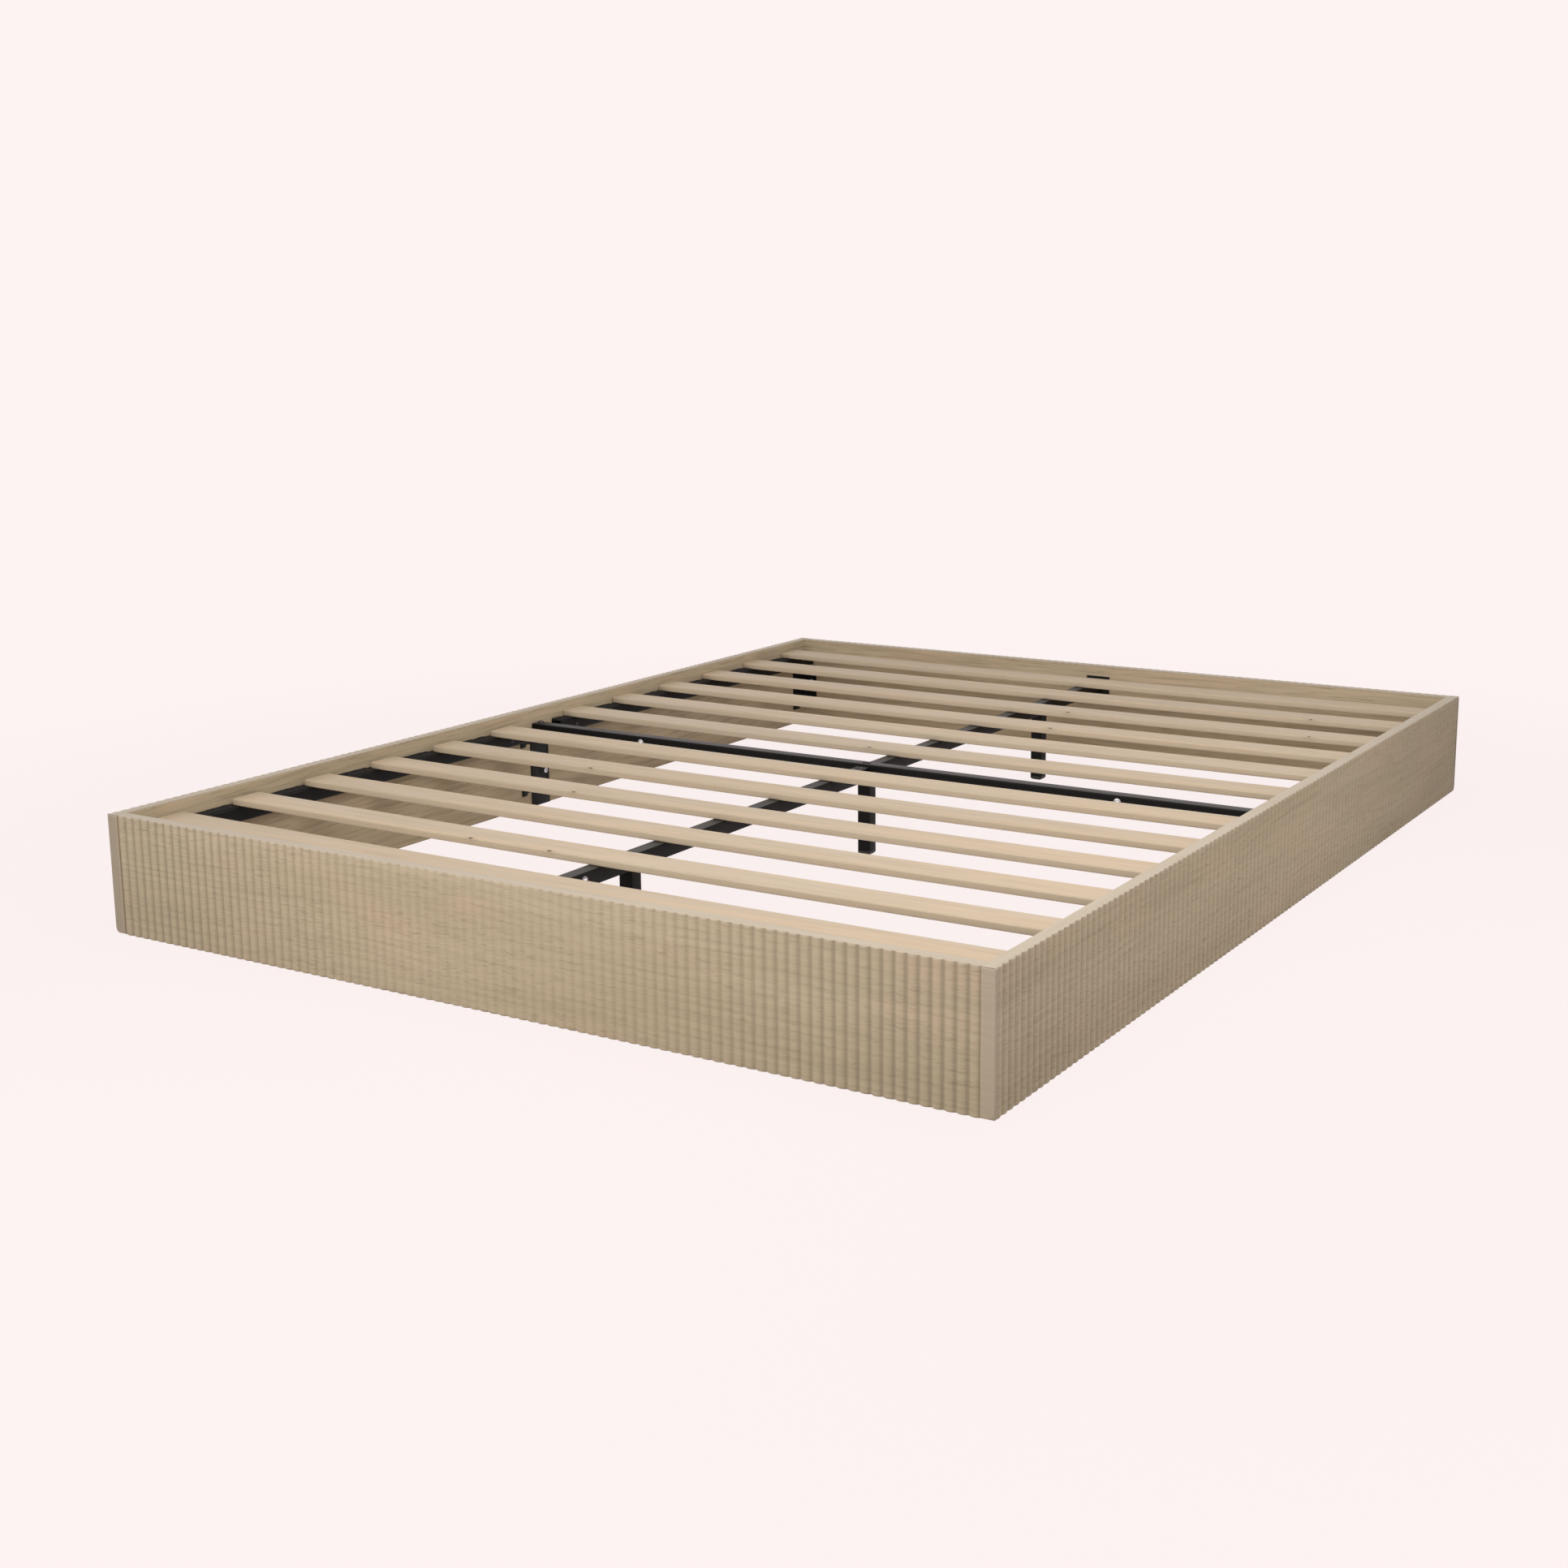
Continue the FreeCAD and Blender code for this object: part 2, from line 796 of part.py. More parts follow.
def nut(spot, direction):
    block = hexagon(spot, direction, cell("nut_radius"), cell("nut_height"))
    hole = rod(
        step_along(spot, direction, -cell("nut_height")),
        direction,
        cell("bolt_hole"),
        cell("nut_height") * 3,
    )
    made = doc.addObject("Part::Cut", "nut")
    made.Base, made.Tool = block, hole
    return made


def group(label, members):
    made = doc.addObject("Part::Compound", label)
    made.Label = label
    made.Links = members
    nodes.append(made)


inner_x, inner_y = wall_x - tube, wall_y - plate
ways = {-1: ("+", "-"), 1: ("-", "+")}
ledger_screws, bracket_bolts, end_bolts = [], [], []
for across in SIDES.values():
    facing = ways[across][0] + "X"
    for way in ENDS.values():
        for spot in ledger_screws_at:
            at = (inner_x * across, spot * way, rail_middle)
            ledger_screws.append(screw(at, facing, tube + cell("bolt_bite")))
        at = (
            (wall_x - plate) * across,
            (wall_y - cell("side_bolt_in")) * way,
            bracket_bolt_z,
        )
        sizes = (cell("head_radius"), cell("head_height"), cell("bolt_radius"))
        depth = plate + cell("bolt_bite")
        bracket_bolts.append(bolt(at, facing, *sizes, depth))
        at = (
            (wall_x - cell("end_bolt_in")) * across,
            inner_y * way,
            bracket_bolt_z,
        )
        bracket_bolts.append(bolt(at, ways[way][0] + "Y", *sizes, depth))
        at = (cell("beam_bolt_out") * across, inner_y * way, rail_middle)
        bracket_bolts.append(bolt(at, ways[way][0] + "Y", *sizes, depth))
    for y, z in joint_bolts_at:
        at = ((wall_x - plate) * across, y, z)
        bracket_bolts.append(bolt(at, facing, *sizes, depth))
    at = (end_bolt_x * across, sized(0), crossbar_low + tube)
    end_bolts.append(
        bolt(
            at,
            "+Z",
            cell("end_head_radius"),
            cell("end_head_height"),
            cell("bolt_radius"),
            tube + plate,
        )
    )
group("ledger_screws", ledger_screws)
group("bracket_bolts", bracket_bolts)
group("crossbar_end_bolts", end_bolts)

through = tube + cell("washer_thick") + cell("nut_height")
bar_faces = [
    (cell("crossbar_bolt_x") * s, -tube / 2, crossbar_low + tube / 2)
    for s in SIDES.values()
]
beam_faces = [(tube / 2, beam_bolt_y * e, rail_middle) for e in ENDS.values()]
through_bolts, washers, nuts = [], [], []
for spots, facing, behind in ((bar_faces, "-Y", "+Y"), (beam_faces, "+X", "-X")):
    for spot in spots:
        washers.append(washer(spot, facing))
        at = step_along(spot, facing, cell("washer_thick"))
        sizes = (cell("through_head_radius"), cell("head_height"))
        through_bolts.append(
            bolt(at, facing, *sizes, cell("bolt_radius"), through)
        )
        nuts.append(nut(step_along(spot, behind, tube), behind))
group("through_bolts", through_bolts)
group("washers", washers)
group("nuts", nuts)

crossing_screws = [
    screw((x, y, rail_top), "+Z", core_inset + cell("crossing_bite"))
    for x, y in crossing_spots
] + [
    screw((x, y, crossbar_low + tube), "+Z", tube / 2)
    for x, y in top_spots
]
group("crossing_screws", crossing_screws)

# ---- checks and export ----

doc.recompute()
for thing in doc.Objects:
    if "Invalid" in thing.State or "Error" in thing.State:
        raise ValueError("bad feature: " + thing.Name)
for node in nodes:
    if node.Shape.isNull() or not node.Shape.isValid():
        raise ValueError("bad shape: " + node.Label)

os.makedirs("parts", exist_ok=True)
for node in nodes:
    node.Shape.exportStep("parts/%s.step" % node.Label)
print("%d nodes written" % len(nodes))
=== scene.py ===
import math
import random

import bmesh
import bpy
from mathutils import Euler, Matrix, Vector


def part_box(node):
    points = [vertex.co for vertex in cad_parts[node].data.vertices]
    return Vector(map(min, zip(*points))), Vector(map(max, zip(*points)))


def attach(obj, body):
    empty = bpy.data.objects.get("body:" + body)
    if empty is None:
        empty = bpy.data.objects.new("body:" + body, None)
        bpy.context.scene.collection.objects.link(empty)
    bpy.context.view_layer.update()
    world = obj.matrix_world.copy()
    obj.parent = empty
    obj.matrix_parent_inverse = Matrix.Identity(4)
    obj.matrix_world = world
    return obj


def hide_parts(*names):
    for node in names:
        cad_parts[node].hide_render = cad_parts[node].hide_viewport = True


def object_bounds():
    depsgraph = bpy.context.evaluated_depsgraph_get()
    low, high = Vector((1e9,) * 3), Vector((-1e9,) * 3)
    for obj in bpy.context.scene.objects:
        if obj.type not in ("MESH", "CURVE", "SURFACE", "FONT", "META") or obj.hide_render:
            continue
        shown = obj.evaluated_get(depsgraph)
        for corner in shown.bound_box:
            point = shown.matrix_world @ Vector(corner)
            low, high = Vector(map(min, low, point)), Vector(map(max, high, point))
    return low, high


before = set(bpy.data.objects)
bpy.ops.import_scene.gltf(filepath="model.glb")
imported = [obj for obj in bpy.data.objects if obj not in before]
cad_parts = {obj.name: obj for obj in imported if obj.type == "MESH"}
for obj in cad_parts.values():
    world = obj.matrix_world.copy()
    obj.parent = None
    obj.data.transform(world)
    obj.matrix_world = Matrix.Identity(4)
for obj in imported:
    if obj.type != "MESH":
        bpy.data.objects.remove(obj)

CAD_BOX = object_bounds()
BED_BODY = "bed_frame"
MM = 0.001

# ---- sizes that the looks add to the frame's own (metres) ----

FLUTES_ACROSS = 88
FLUTES_PER_HALF = 59
FLUTE_DEPTH = 3.0 * MM
FLUTE_LAND = 1.6 * MM
RIB_STEPS = 10
CORNER_ROUND = 2.0 * MM
LOWER_ROUND = 3.5 * MM
UPPER_ROUND = 0.3 * MM
INNER_ROUND = 0.5 * MM
POST_STEP = 0.2 * MM
POST_STATIONS = (4.2 * MM, 3.4 * MM, 2.7 * MM)
BAND_ROUND = 0.9 * MM
TUBE_ROUND = 2.5 * MM
TUBE_WALL = 1.5 * MM
SLAT_ROUND = 2.8 * MM
SLAT_EASE = 0.8 * MM
SLAT_SAG = 2.3 * MM
SLAT_STATIONS = 40
SLAT_COUNT = 12
SLAT_SWAY = 0.4 * MM
FIBRE_LENGTH = 1.6 * MM
FIBRES_PER_METRE = 2600
FELT_RIDGE = 2.6 * MM
FELT_STATION = 2.5 * MM
FELT_OVERHANG = 0.8 * MM
FIBRE_HALF_MM = 0.09
COVER_FADE = 8.0 * MM
PLATE_EASE = 0.35 * MM
PLATE_FLAT_ANGLE = math.radians(1.5)
PLATE_EDGE_ANGLE = math.radians(50)
PLATE_WELD = 0.002 * MM
PLUG_GAP = 0.3 * MM
PLUG_ROUND = 0.9 * MM
FOOT_ROUND = 2.2 * MM
BEAD_RADIUS = 1.1 * MM
BEAD_STEP = 1.4 * MM
GUSSET_INSET = 2.0 * MM
TURNED_STEPS = 24

# a foot from the floor up: (height, inset from the leg's outer faces) in millimetres
FOOT_LEVELS = [
    (0.0, 3.4), (0.4, 2.8), (2.6, 0.6), (3.4, 0.0), (7.2, 0.0), (7.8, 0.5), (8.0, 2.0),
]

SHARP_ANGLE = math.radians(38)
PHOTO_SIDE = 1932
BOARD_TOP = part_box("front_panel")[1].z
# colour of the painted highlight on the rib tops
RIM_HIGHLIGHT_TONE = (0.66, 0.555, 0.455, 1.0)
# tone of the painted light on the slats' sides
SIDE_LIGHT_TONE = (0.72, 0.61, 0.465, 1.0)
KNOT_HEART = (0.055, 0.022, 0.014, 1.0)
RIM_FADE = 2.4 * MM
LEFT_POST_TONE = 1.25
POST_GREY = (0.81, 0.82, 0.91)
PORE_SHARE = 0.45
STREAK_SHARE = 0.16
DASH_SHARE = 0.26
ARCH_SHARE = 0.15
ARCHES_PER_METRE = 72.0
ARCH_WARP = 13.0

# painted shade in the grooves: depth where it starts, and how it fades in from the bed's middle
SHADE_START = 0.10
UNSHADED_MIDDLE = 0.10
SHADE_FADE = 0.50
SIDE_SHADE = 0.45

HALVES = ["%s_%s" % (side, end) for side in ("left", "right") for end in ("front", "rear")]


# ---- node trees ----


def node(tree, kind, sockets=None, **settings):
    """One shader node; a socket takes a number, a colour or another node's output."""
    made = tree.nodes.new(kind)
    for name, value in settings.items():
        setattr(made, name, value)
    for key, value in (sockets or {}).items():
        if isinstance(value, bpy.types.NodeSocket):
            tree.links.new(value, made.inputs[key])
        else:
            made.inputs[key].default_value = value
    return made


def new_material(name):
    """An empty material and its node tree."""
    material = bpy.data.materials.new(name)
    material.use_nodes = True
    material.node_tree.nodes.clear()
    return material, material.node_tree


def sums(tree, operation, first, second):
    """One step of arithmetic on two values."""
    made = node(tree, "ShaderNodeMath", {0: first, 1: second}, operation=operation)
    return made.outputs[0]


def stretched(tree, vector, scale):
    """A place scaled along each axis, so that a pattern on it is drawn out."""
    made = node(tree, "ShaderNodeVectorMath", {0: vector, 1: scale}, operation="MULTIPLY")
    return made.outputs[0]


def fractal(tree, vector, detail=2.0, roughness=0.5, warp=0.0):
    """Smooth noise at a place, from 0 to 1."""
    made = node(tree, "ShaderNodeTexNoise", {
        "Vector": vector, "Scale": 1.0, "Detail": detail,
        "Roughness": roughness, "Distortion": warp,
    })
    return made.outputs[0]


def ramp(tree, value, low, high, bottom=0.0, top=1.0):
    """Smooth step from bottom to top as the value goes from low to high."""
    made = node(tree, "ShaderNodeMapRange", {
        "Value": value, "From Min": low, "From Max": high,
        "To Min": bottom, "To Max": top,
    }, interpolation_type="SMOOTHSTEP")
    return made.outputs[0]


def tinted(tree, share, first, second):
    """The first colour with a share of the second."""
    made = node(tree, "ShaderNodeMix", {0: share, 6: first, 7: second}, data_type="RGBA")
    return made.outputs[2]


def finished(tree, colour, roughness, height, strength, depth, **shader):
    """Principled surface with bump, wired to the output."""
    bump = node(tree, "ShaderNodeBump", {
        "Height": height, "Strength": strength, "Distance": depth,
    })
    sockets = {"Base Color": colour, "Roughness": roughness, "Normal": bump.outputs[0]}
    for name, value in shader.items():
        sockets[name.replace("_", " ")] = value
    surface = node(tree, "ShaderNodeBsdfPrincipled", sockets)
    node(tree, "ShaderNodeOutputMaterial", {"Surface": surface.outputs[0]})


def object_place(tree):
    """Place in the object's own axes."""
    return node(tree, "ShaderNodeTexCoord").outputs["Object"]


def attribute(tree, name):
    """The number that paint() gave each vertex; 0 where there is none."""
    made = node(tree, "ShaderNodeAttribute", attribute_name=name)
    return made.outputs["Fac"]


# ---- materials ----


def laminate(name, base, dark, warm, contrast, groove_tone, dash=42.0):
    """Pale wood-print skin: soft level grain, faint arches, painted shade in the grooves and along the
    foot, and a painted highlight on the rib tops.
    """
    material, tree = new_material(name)
    place = object_place(tree)
    height = node(tree, "ShaderNodeSeparateXYZ", {0: place}).outputs[2]

    broad = fractal(tree, stretched(tree, place, (1.3, 1.3, 14.0)), 2.0, 0.5, 0.4)
    patch = fractal(tree, stretched(tree, place, (4.2, 4.2, 13.0)), 1.0)
    streak = fractal(tree, stretched(tree, place, (4.0, 4.0, 150.0)), 3.0, 0.6)
    fine = fractal(tree, stretched(tree, place, (dash, dash, 430.0)), 2.0, 0.55)
    where = fractal(tree, stretched(tree, place, (5.0, 5.0, 20.0)), 1.0)

    warp = fractal(tree, stretched(tree, place, (1.2, 1.2, 4.0)), 1.5, 0.45)
    phase = sums(tree, "ADD", sums(tree, "MULTIPLY", height, ARCHES_PER_METRE),
                 sums(tree, "MULTIPLY", warp, ARCH_WARP))
    wave = sums(tree, "SINE", sums(tree, "MULTIPLY", phase, 2.0 * math.pi), 0.0)
    arch = sums(tree, "MULTIPLY", ramp(tree, wave, 0.35, 1.0), ramp(tree, where, 0.42, 0.62))

    dashes = sums(tree, "MULTIPLY", ramp(tree, fine, 0.53, 0.64),
                  ramp(tree, where, 0.62, 0.38, 0.3, 1.0))
    colour = tinted(tree, ramp(tree, broad, 0.3, 0.7), base, dark)
    colour = tinted(tree, ramp(tree, patch, 0.52, 0.7, 0.0, 0.6), colour, warm)
    grain = sums(tree, "MULTIPLY", ramp(tree, streak, 0.35, 0.7), STREAK_SHARE * contrast)
    grain = sums(tree, "ADD", grain, sums(tree, "MULTIPLY", dashes, DASH_SHARE * contrast))
    grain = sums(tree, "ADD", grain, sums(tree, "MULTIPLY", arch, ARCH_SHARE * contrast))
    # dark tone of the grain's pores, which the painted shade below also uses
    pore_and_shade = [channel * PORE_SHARE for channel in dark[:3]] + [1.0]
    colour = tinted(tree, grain, colour, pore_and_shade)
    # painted shade in the grooves, as groove_shade() sets it for each vertex
    shade = sums(tree, "MULTIPLY", attribute(tree, "shade"), groove_tone)
    colour = tinted(tree, shade, colour, pore_and_shade)
    greyer = [channel * grey for channel, grey in zip(base, POST_GREY)] + [1.0]
    post = attribute(tree, "post")
    colour = tinted(tree, sums(tree, "MULTIPLY", post, 0.7), colour, greyer)
    colour = tinted(tree, ramp(tree, post, 1.0, LEFT_POST_TONE, 0.0, 0.28), colour, pore_and_shade)
    # painted highlight along the rounded top edge of each rib, kept off the grooves
    rim = ramp(tree, height, BOARD_TOP - RIM_FADE, BOARD_TOP, 0.0, 0.55)
    rib_top_highlight = sums(tree, "MULTIPLY", rim, sums(tree, "SUBTRACT", 1.0, attribute(tree, "groove")))
    colour = tinted(tree, rib_top_highlight, colour, RIM_HIGHLIGHT_TONE)
    # painted contact shade along the bottom edge, darkest where the board meets the floor
    colour = tinted(tree, ramp(tree, height, 0.2 * MM, RIM_FADE, 0.5, 0.0), colour, pore_and_shade)

    relief = sums(tree, "SUBTRACT", sums(tree, "MULTIPLY", streak, 0.3),
                  sums(tree, "MULTIPLY", dashes, 0.5))
    rough = ramp(tree, fine, 0.3, 0.7, 0.46, 0.60)
    finished(tree, colour, rough, relief, 0.18, 0.22 * MM, Specular_IOR_Level=0.3)
    return material


def solid_wood(name, base, dark, warm, along, knots=(), side_light=0.0):
    """Sanded timber with its grain along one axis, small knots and painted light on its sides."""
    material, tree = new_material(name)
    place = object_place(tree)
    scales = {"X": (1.0, 18.0, 18.0), "Y": (18.0, 1.0, 18.0)}[along]

    def grain(factor, detail=2.0, warp=0.0):
        return fractal(tree, stretched(tree, place, [s * factor for s in scales]),
                       detail, 0.55, warp)

    broad, streak, fine = grain(1.2, 1.0, 0.6), grain(6.0, 3.0, 0.3), grain(38.0, 2.0)
    colour = tinted(tree, ramp(tree, broad, 0.35, 0.68), base, warm)
    lines = sums(tree, "MULTIPLY", ramp(tree, streak, 0.45, 0.72), 0.42)
    pores = sums(tree, "MULTIPLY", ramp(tree, fine, 0.56, 0.7), 0.22)
    colour = tinted(tree, sums(tree, "ADD", lines, pores), colour, dark)
    colour = tinted(tree, sums(tree, "MULTIPLY", attribute(tree, "tone"), 0.3), colour, dark)
    facing = node(tree, "ShaderNodeSeparateXYZ", {
        0: node(tree, "ShaderNodeNewGeometry").outputs["Normal"],
    }).outputs[2]
    # faces that don't look up are made lighter: painted light on the sides
    colour = tinted(tree, ramp(tree, facing, 0.85, 0.3, 0.0, side_light), colour, SIDE_LIGHT_TONE)
    for spot, reach in knots:
        near = node(tree, "ShaderNodeVectorMath", {
            0: stretched(tree, place, (0.4, 1.0, 1.0)),
            1: (spot[0] * 0.4, spot[1], spot[2]),
        }, operation="DISTANCE").outputs["Value"]
        halo = ramp(tree, near, reach, reach * 4.0, 0.35, 0.0)
        colour = tinted(tree, halo, colour, dark)
        heart = ramp(tree, near, reach * 0.55, reach, 0.85, 0.0)
        colour = tinted(tree, heart, colour, KNOT_HEART)
    relief = sums(tree, "ADD", sums(tree, "MULTIPLY", streak, 0.5),
                  sums(tree, "MULTIPLY", fine, -0.4))
    rough = ramp(tree, streak, 0.3, 0.7, 0.40, 0.52)
    finished(tree, colour, rough, relief, 0.25, 0.2 * MM, Specular_IOR_Level=0.24)
    return material


def black_steel():
    """Powder-coated tube: fine orange peel, and on top a light dusting with a painted sheen."""
    material, tree = new_material("black_steel")
    place = object_place(tree)
    peel = fractal(tree, stretched(tree, place, (900.0, 900.0, 900.0)), 1.0)
    cloud = fractal(tree, stretched(tree, place, (9.0, 9.0, 9.0)), 3.0)
    up = node(tree, "ShaderNodeSeparateXYZ", {
        0: node(tree, "ShaderNodeNewGeometry").outputs["Normal"],
    }).outputs[2]
    # upward faces turn greyer: a light dusting, and a painted sheen
    dust_and_sheen = sums(tree, "MULTIPLY", ramp(tree, up, 0.6, 1.0), ramp(tree, cloud, 0.3, 0.7, 0.5, 1.0))
    colour = tinted(tree, dust_and_sheen, (0.0075, 0.0072, 0.007, 1.0), (0.060, 0.060, 0.058, 1.0))
    rough = ramp(tree, cloud, 0.3, 0.7, 0.38, 0.52)
    finished(tree, colour, rough, peel, 0.12, 0.1 * MM, Specular_IOR_Level=0.12)
    return material


def felt():
    """Matt black fibre in soft clumps."""
    material, tree = new_material("felt")
    place = object_place(tree)
    fuzz = fractal(tree, stretched(tree, place, (420.0, 420.0, 420.0)), 4.0, 0.75)
    clump = fractal(tree, stretched(tree, place, (60.0, 60.0, 60.0)), 2.0)
    colour = tinted(tree, ramp(tree, fuzz, 0.35, 0.7), (0.008, 0.008, 0.008, 1.0),
                    (0.038, 0.036, 0.035, 1.0))
    rough = ramp(tree, clump, 0.3, 0.7, 0.88, 1.0)
    finished(tree, colour, rough, fuzz, 0.9, 0.8 * MM, Specular_IOR_Level=0.12)
    return material


def moulded_black():
    """Moulded plastic with a fine skin and paler scuffs."""
    material, tree = new_material("foot_plastic")
    place = object_place(tree)
    skin = fractal(tree, stretched(tree, place, (700.0, 700.0, 700.0)), 2.0)
    scuff = fractal(tree, stretched(tree, place, (45.0, 45.0, 160.0)), 3.0)
    colour = tinted(tree, ramp(tree, scuff, 0.5, 0.75, 0.0, 0.6), (0.014, 0.014, 0.014, 1.0),
                    (0.05, 0.05, 0.05, 1.0))
    finished(tree, colour, ramp(tree, scuff, 0.3, 0.7, 0.5, 0.7), skin, 0.2, 0.1 * MM)
    return material


def plated(name, base, rib_top_highlight, low_rough, high_rough):
    """Plated steel fastener with turning marks and dull patches."""
    material, tree = new_material(name)
    place = object_place(tree)
    marks = fractal(tree, stretched(tree, place, (1500.0, 1500.0, 1500.0)), 2.0)
    cloud = fractal(tree, stretched(tree, place, (160.0, 160.0, 160.0)), 3.0)
    colour = tinted(tree, ramp(tree, cloud, 0.4, 0.7), base, rib_top_highlight)
    rough = ramp(tree, cloud, 0.3, 0.7, low_rough, high_rough)
    finished(tree, colour, rough, marks, 0.15, 0.05 * MM, Metallic=1.0)
    return material


# ---- meshes ----


def new_piece(name, verts, faces, nodes, materials, body=BED_BODY, picks=None):
    """A smooth mesh that rides on a body and stands for the given nodes."""
    mesh = bpy.data.meshes.new(name)
    mesh.from_pydata([tuple(v) for v in verts], [], faces)
    for material in materials:
        mesh.materials.append(material)
    if picks:
        mesh.polygons.foreach_set("material_index", picks)
    shape = bmesh.new()
    shape.from_mesh(mesh)
    bmesh.ops.recalc_face_normals(shape, faces=shape.faces)
    shape.to_mesh(mesh)
    shape.free()
    mesh.polygons.foreach_set("use_smooth", [True] * len(mesh.polygons))
    mesh.set_sharp_from_angle(angle=SHARP_ANGLE)
    piece = bpy.data.objects.new(name, mesh)
    bpy.context.scene.collection.objects.link(piece)
    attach(piece, body)
    if nodes:
        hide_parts(*nodes)
    return piece


def paint(piece, name, values):
    """One number for each vertex, which the materials read by name."""
    layer = piece.data.attributes.new(name, "FLOAT", "POINT")
    layer.data.foreach_set("value", values)


def lofted(rings, capped=True):
    """Faces between rings of equal length, each ring a closed loop."""
    count = len(rings[0])
    verts = [point for ring in rings for point in ring]
    faces = []
    for row in range(len(rings) - 1):
        a, b = row * count, (row + 1) * count
        for k in range(count):
            n = (k + 1) % count
            faces.append((a + k, a + n, b + n, b + k))
    if capped:
        last = (len(rings) - 1) * count
        faces.append(tuple(range(count))[::-1])
        faces.append(tuple(range(last, last + count)))
    return verts, faces


def quarter(centre, radius, start, steps):
    """Points of a quarter circle in a plane, from the start angle in degrees."""
    angles = [math.radians(start + 90 * k / steps) for k in range(steps + 1)]
    return [
        (centre[0] + radius * math.cos(angle), centre[1] + radius * math.sin(angle))
        for angle in angles
    ]


def rounded_rectangle(low, high, radii, steps=4):
    """Closed loop from the high-high corner round, with a radius for each corner."""
    (a0, b0), (a1, b1) = low, high
    r = radii
    loop = quarter((a1 - r[0], b1 - r[0]), r[0], 0, steps)
    loop += quarter((a0 + r[1], b1 - r[1]), r[1], 90, steps)
    loop += quarter((a0 + r[2], b0 + r[2]), r[2], 180, steps)
    return loop + quarter((a1 - r[3], b0 + r[3]), r[3], 270, steps)


# ---- fluted panels and edge bands ----

WALL_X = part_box("front_panel")[1].x
WALL_Y = -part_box("front_panel")[1].y
HALF_LENGTH = CAD_BOX[1].y
PANEL_THICK = HALF_LENGTH - WALL_Y
BOARD_THICK = PANEL_THICK - FLUTE_DEPTH
FLUTE_PITCH = 2 * WALL_X / FLUTES_ACROSS
POST_START = FLUTE_PITCH * FLUTES_PER_HALF


def rib_row(first, count):
    """(along, depth) over a row of convex ribs, starting in the groove before it."""
    chord = FLUTE_PITCH - FLUTE_LAND
    radius = (chord * chord / 4 + FLUTE_DEPTH * FLUTE_DEPTH) / (2 * FLUTE_DEPTH)
    profile = []
    for number in range(count):
        middle = first + FLUTE_PITCH * number
        for k in range(RIB_STEPS + 1):
            x = chord * (k / RIB_STEPS - 0.5)
            rise = math.sqrt(radius * radius - x * x) - radius + FLUTE_DEPTH
            profile.append((middle + x, BOARD_THICK + rise))
    return profile


def end_profile():
    """Front or back panel: ribs from wall to wall."""
    profile = rib_row(-WALL_X + FLUTE_PITCH / 2, FLUTES_ACROSS)
    return [(-WALL_X, BOARD_THICK)] + profile + [(WALL_X, BOARD_THICK)]


def side_profile():
    """Half side panel from the seam out: ribs, then a rounded post."""
    profile = [(0.0, BOARD_THICK)] + rib_row(FLUTE_PITCH / 2, FLUTES_PER_HALF)
    profile += [(POST_START, BOARD_THICK), (POST_START + POST_STEP, PANEL_THICK)]
    profile += [(HALF_LENGTH - gap, PANEL_THICK) for gap in POST_STATIONS]
    centre = (HALF_LENGTH - CORNER_ROUND, PANEL_THICK - CORNER_ROUND)
    return profile + quarter(centre, CORNER_ROUND, 0, 8)[::-1]


def panel_place(name):
    """Turns (along, depth, height) into a point, by the wall that the panel stands on."""
    if name.startswith(("front", "back")):
        out = -1 if name.startswith("front") else 1
        return lambda u, d, z: (u, out * (WALL_Y + d), z)
    out = -1 if "left" in name else 1
    way = -1 if name.endswith("front") else 1
    return lambda u, d, z: (out * (WALL_X + d), way * u, z)


def eased(along, radius):
    """How far an edge is rounded off towards the outer end of a side panel."""
    reach = min(max(along - HALF_LENGTH + radius, 0.0), radius)
    return radius - math.sqrt(radius * radius - reach * reach)


def groove_shade(groove, along, ends):
    """Painted shade in the grooves: on the end panels it fades towards the middle of the bed."""
    depth = min(max((groove - SHADE_START) / (1.0 - SHADE_START), 0.0), 1.0)
    spread = min(max((abs(along) - UNSHADED_MIDDLE) / SHADE_FADE, 0.0), 1.0) if ends else SIDE_SHADE
    return depth * depth * (3.0 - 2.0 * depth) * spread


def fluted_board(name, node_name, materials, lower, upper):
    """A board lofted along its ribs: outer face in one material, the rest in another."""
    low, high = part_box(node_name)
    ends = node_name.startswith(("front", "back"))
    profile = end_profile() if ends else side_profile()
    place = panel_place(node_name)
    steps = 4
    post_tone = LEFT_POST_TONE if "left" in node_name else 1.0
    rings, grooves, shades, posts = [], [], [], []
    for along, depth in profile:
        post = min(max((along - POST_START) / (HALF_LENGTH - POST_START), 0.0), 1.0)
        radii = (upper, INNER_ROUND, INNER_ROUND, lower * (1.0 + post))
        start = (eased(along, 0.6 * lower), low.z + eased(along, 2.0 * lower))
        loop = rounded_rectangle(start, (depth, high.z), radii, steps)
        rings.append([place(along, d, z) for d, z in loop])
        groove = min(max(1.0 - (depth - BOARD_THICK) / FLUTE_DEPTH, 0.0), 1.0)
        if along >= POST_START:
            groove = 0.0
        grooves += [groove] * len(loop)
        shades += [groove_shade(groove, along, ends)] * len(loop)
        posts += [post_tone if along >= POST_START else 0.0] * len(loop)
    verts, faces = lofted(rings)
    count = len(rings[0])
    outer = [k <= steps or k >= 3 * (steps + 1) for k in range(count)]
    picks = [0 if outer[k] else 1 for _ in rings[1:] for k in range(count)] + [0, 0]
    piece = new_piece(name, verts, faces, [node_name], materials, picks=picks)
    paint(piece, "groove", grooves)
    paint(piece, "shade", shades)
    paint(piece, "post", posts)


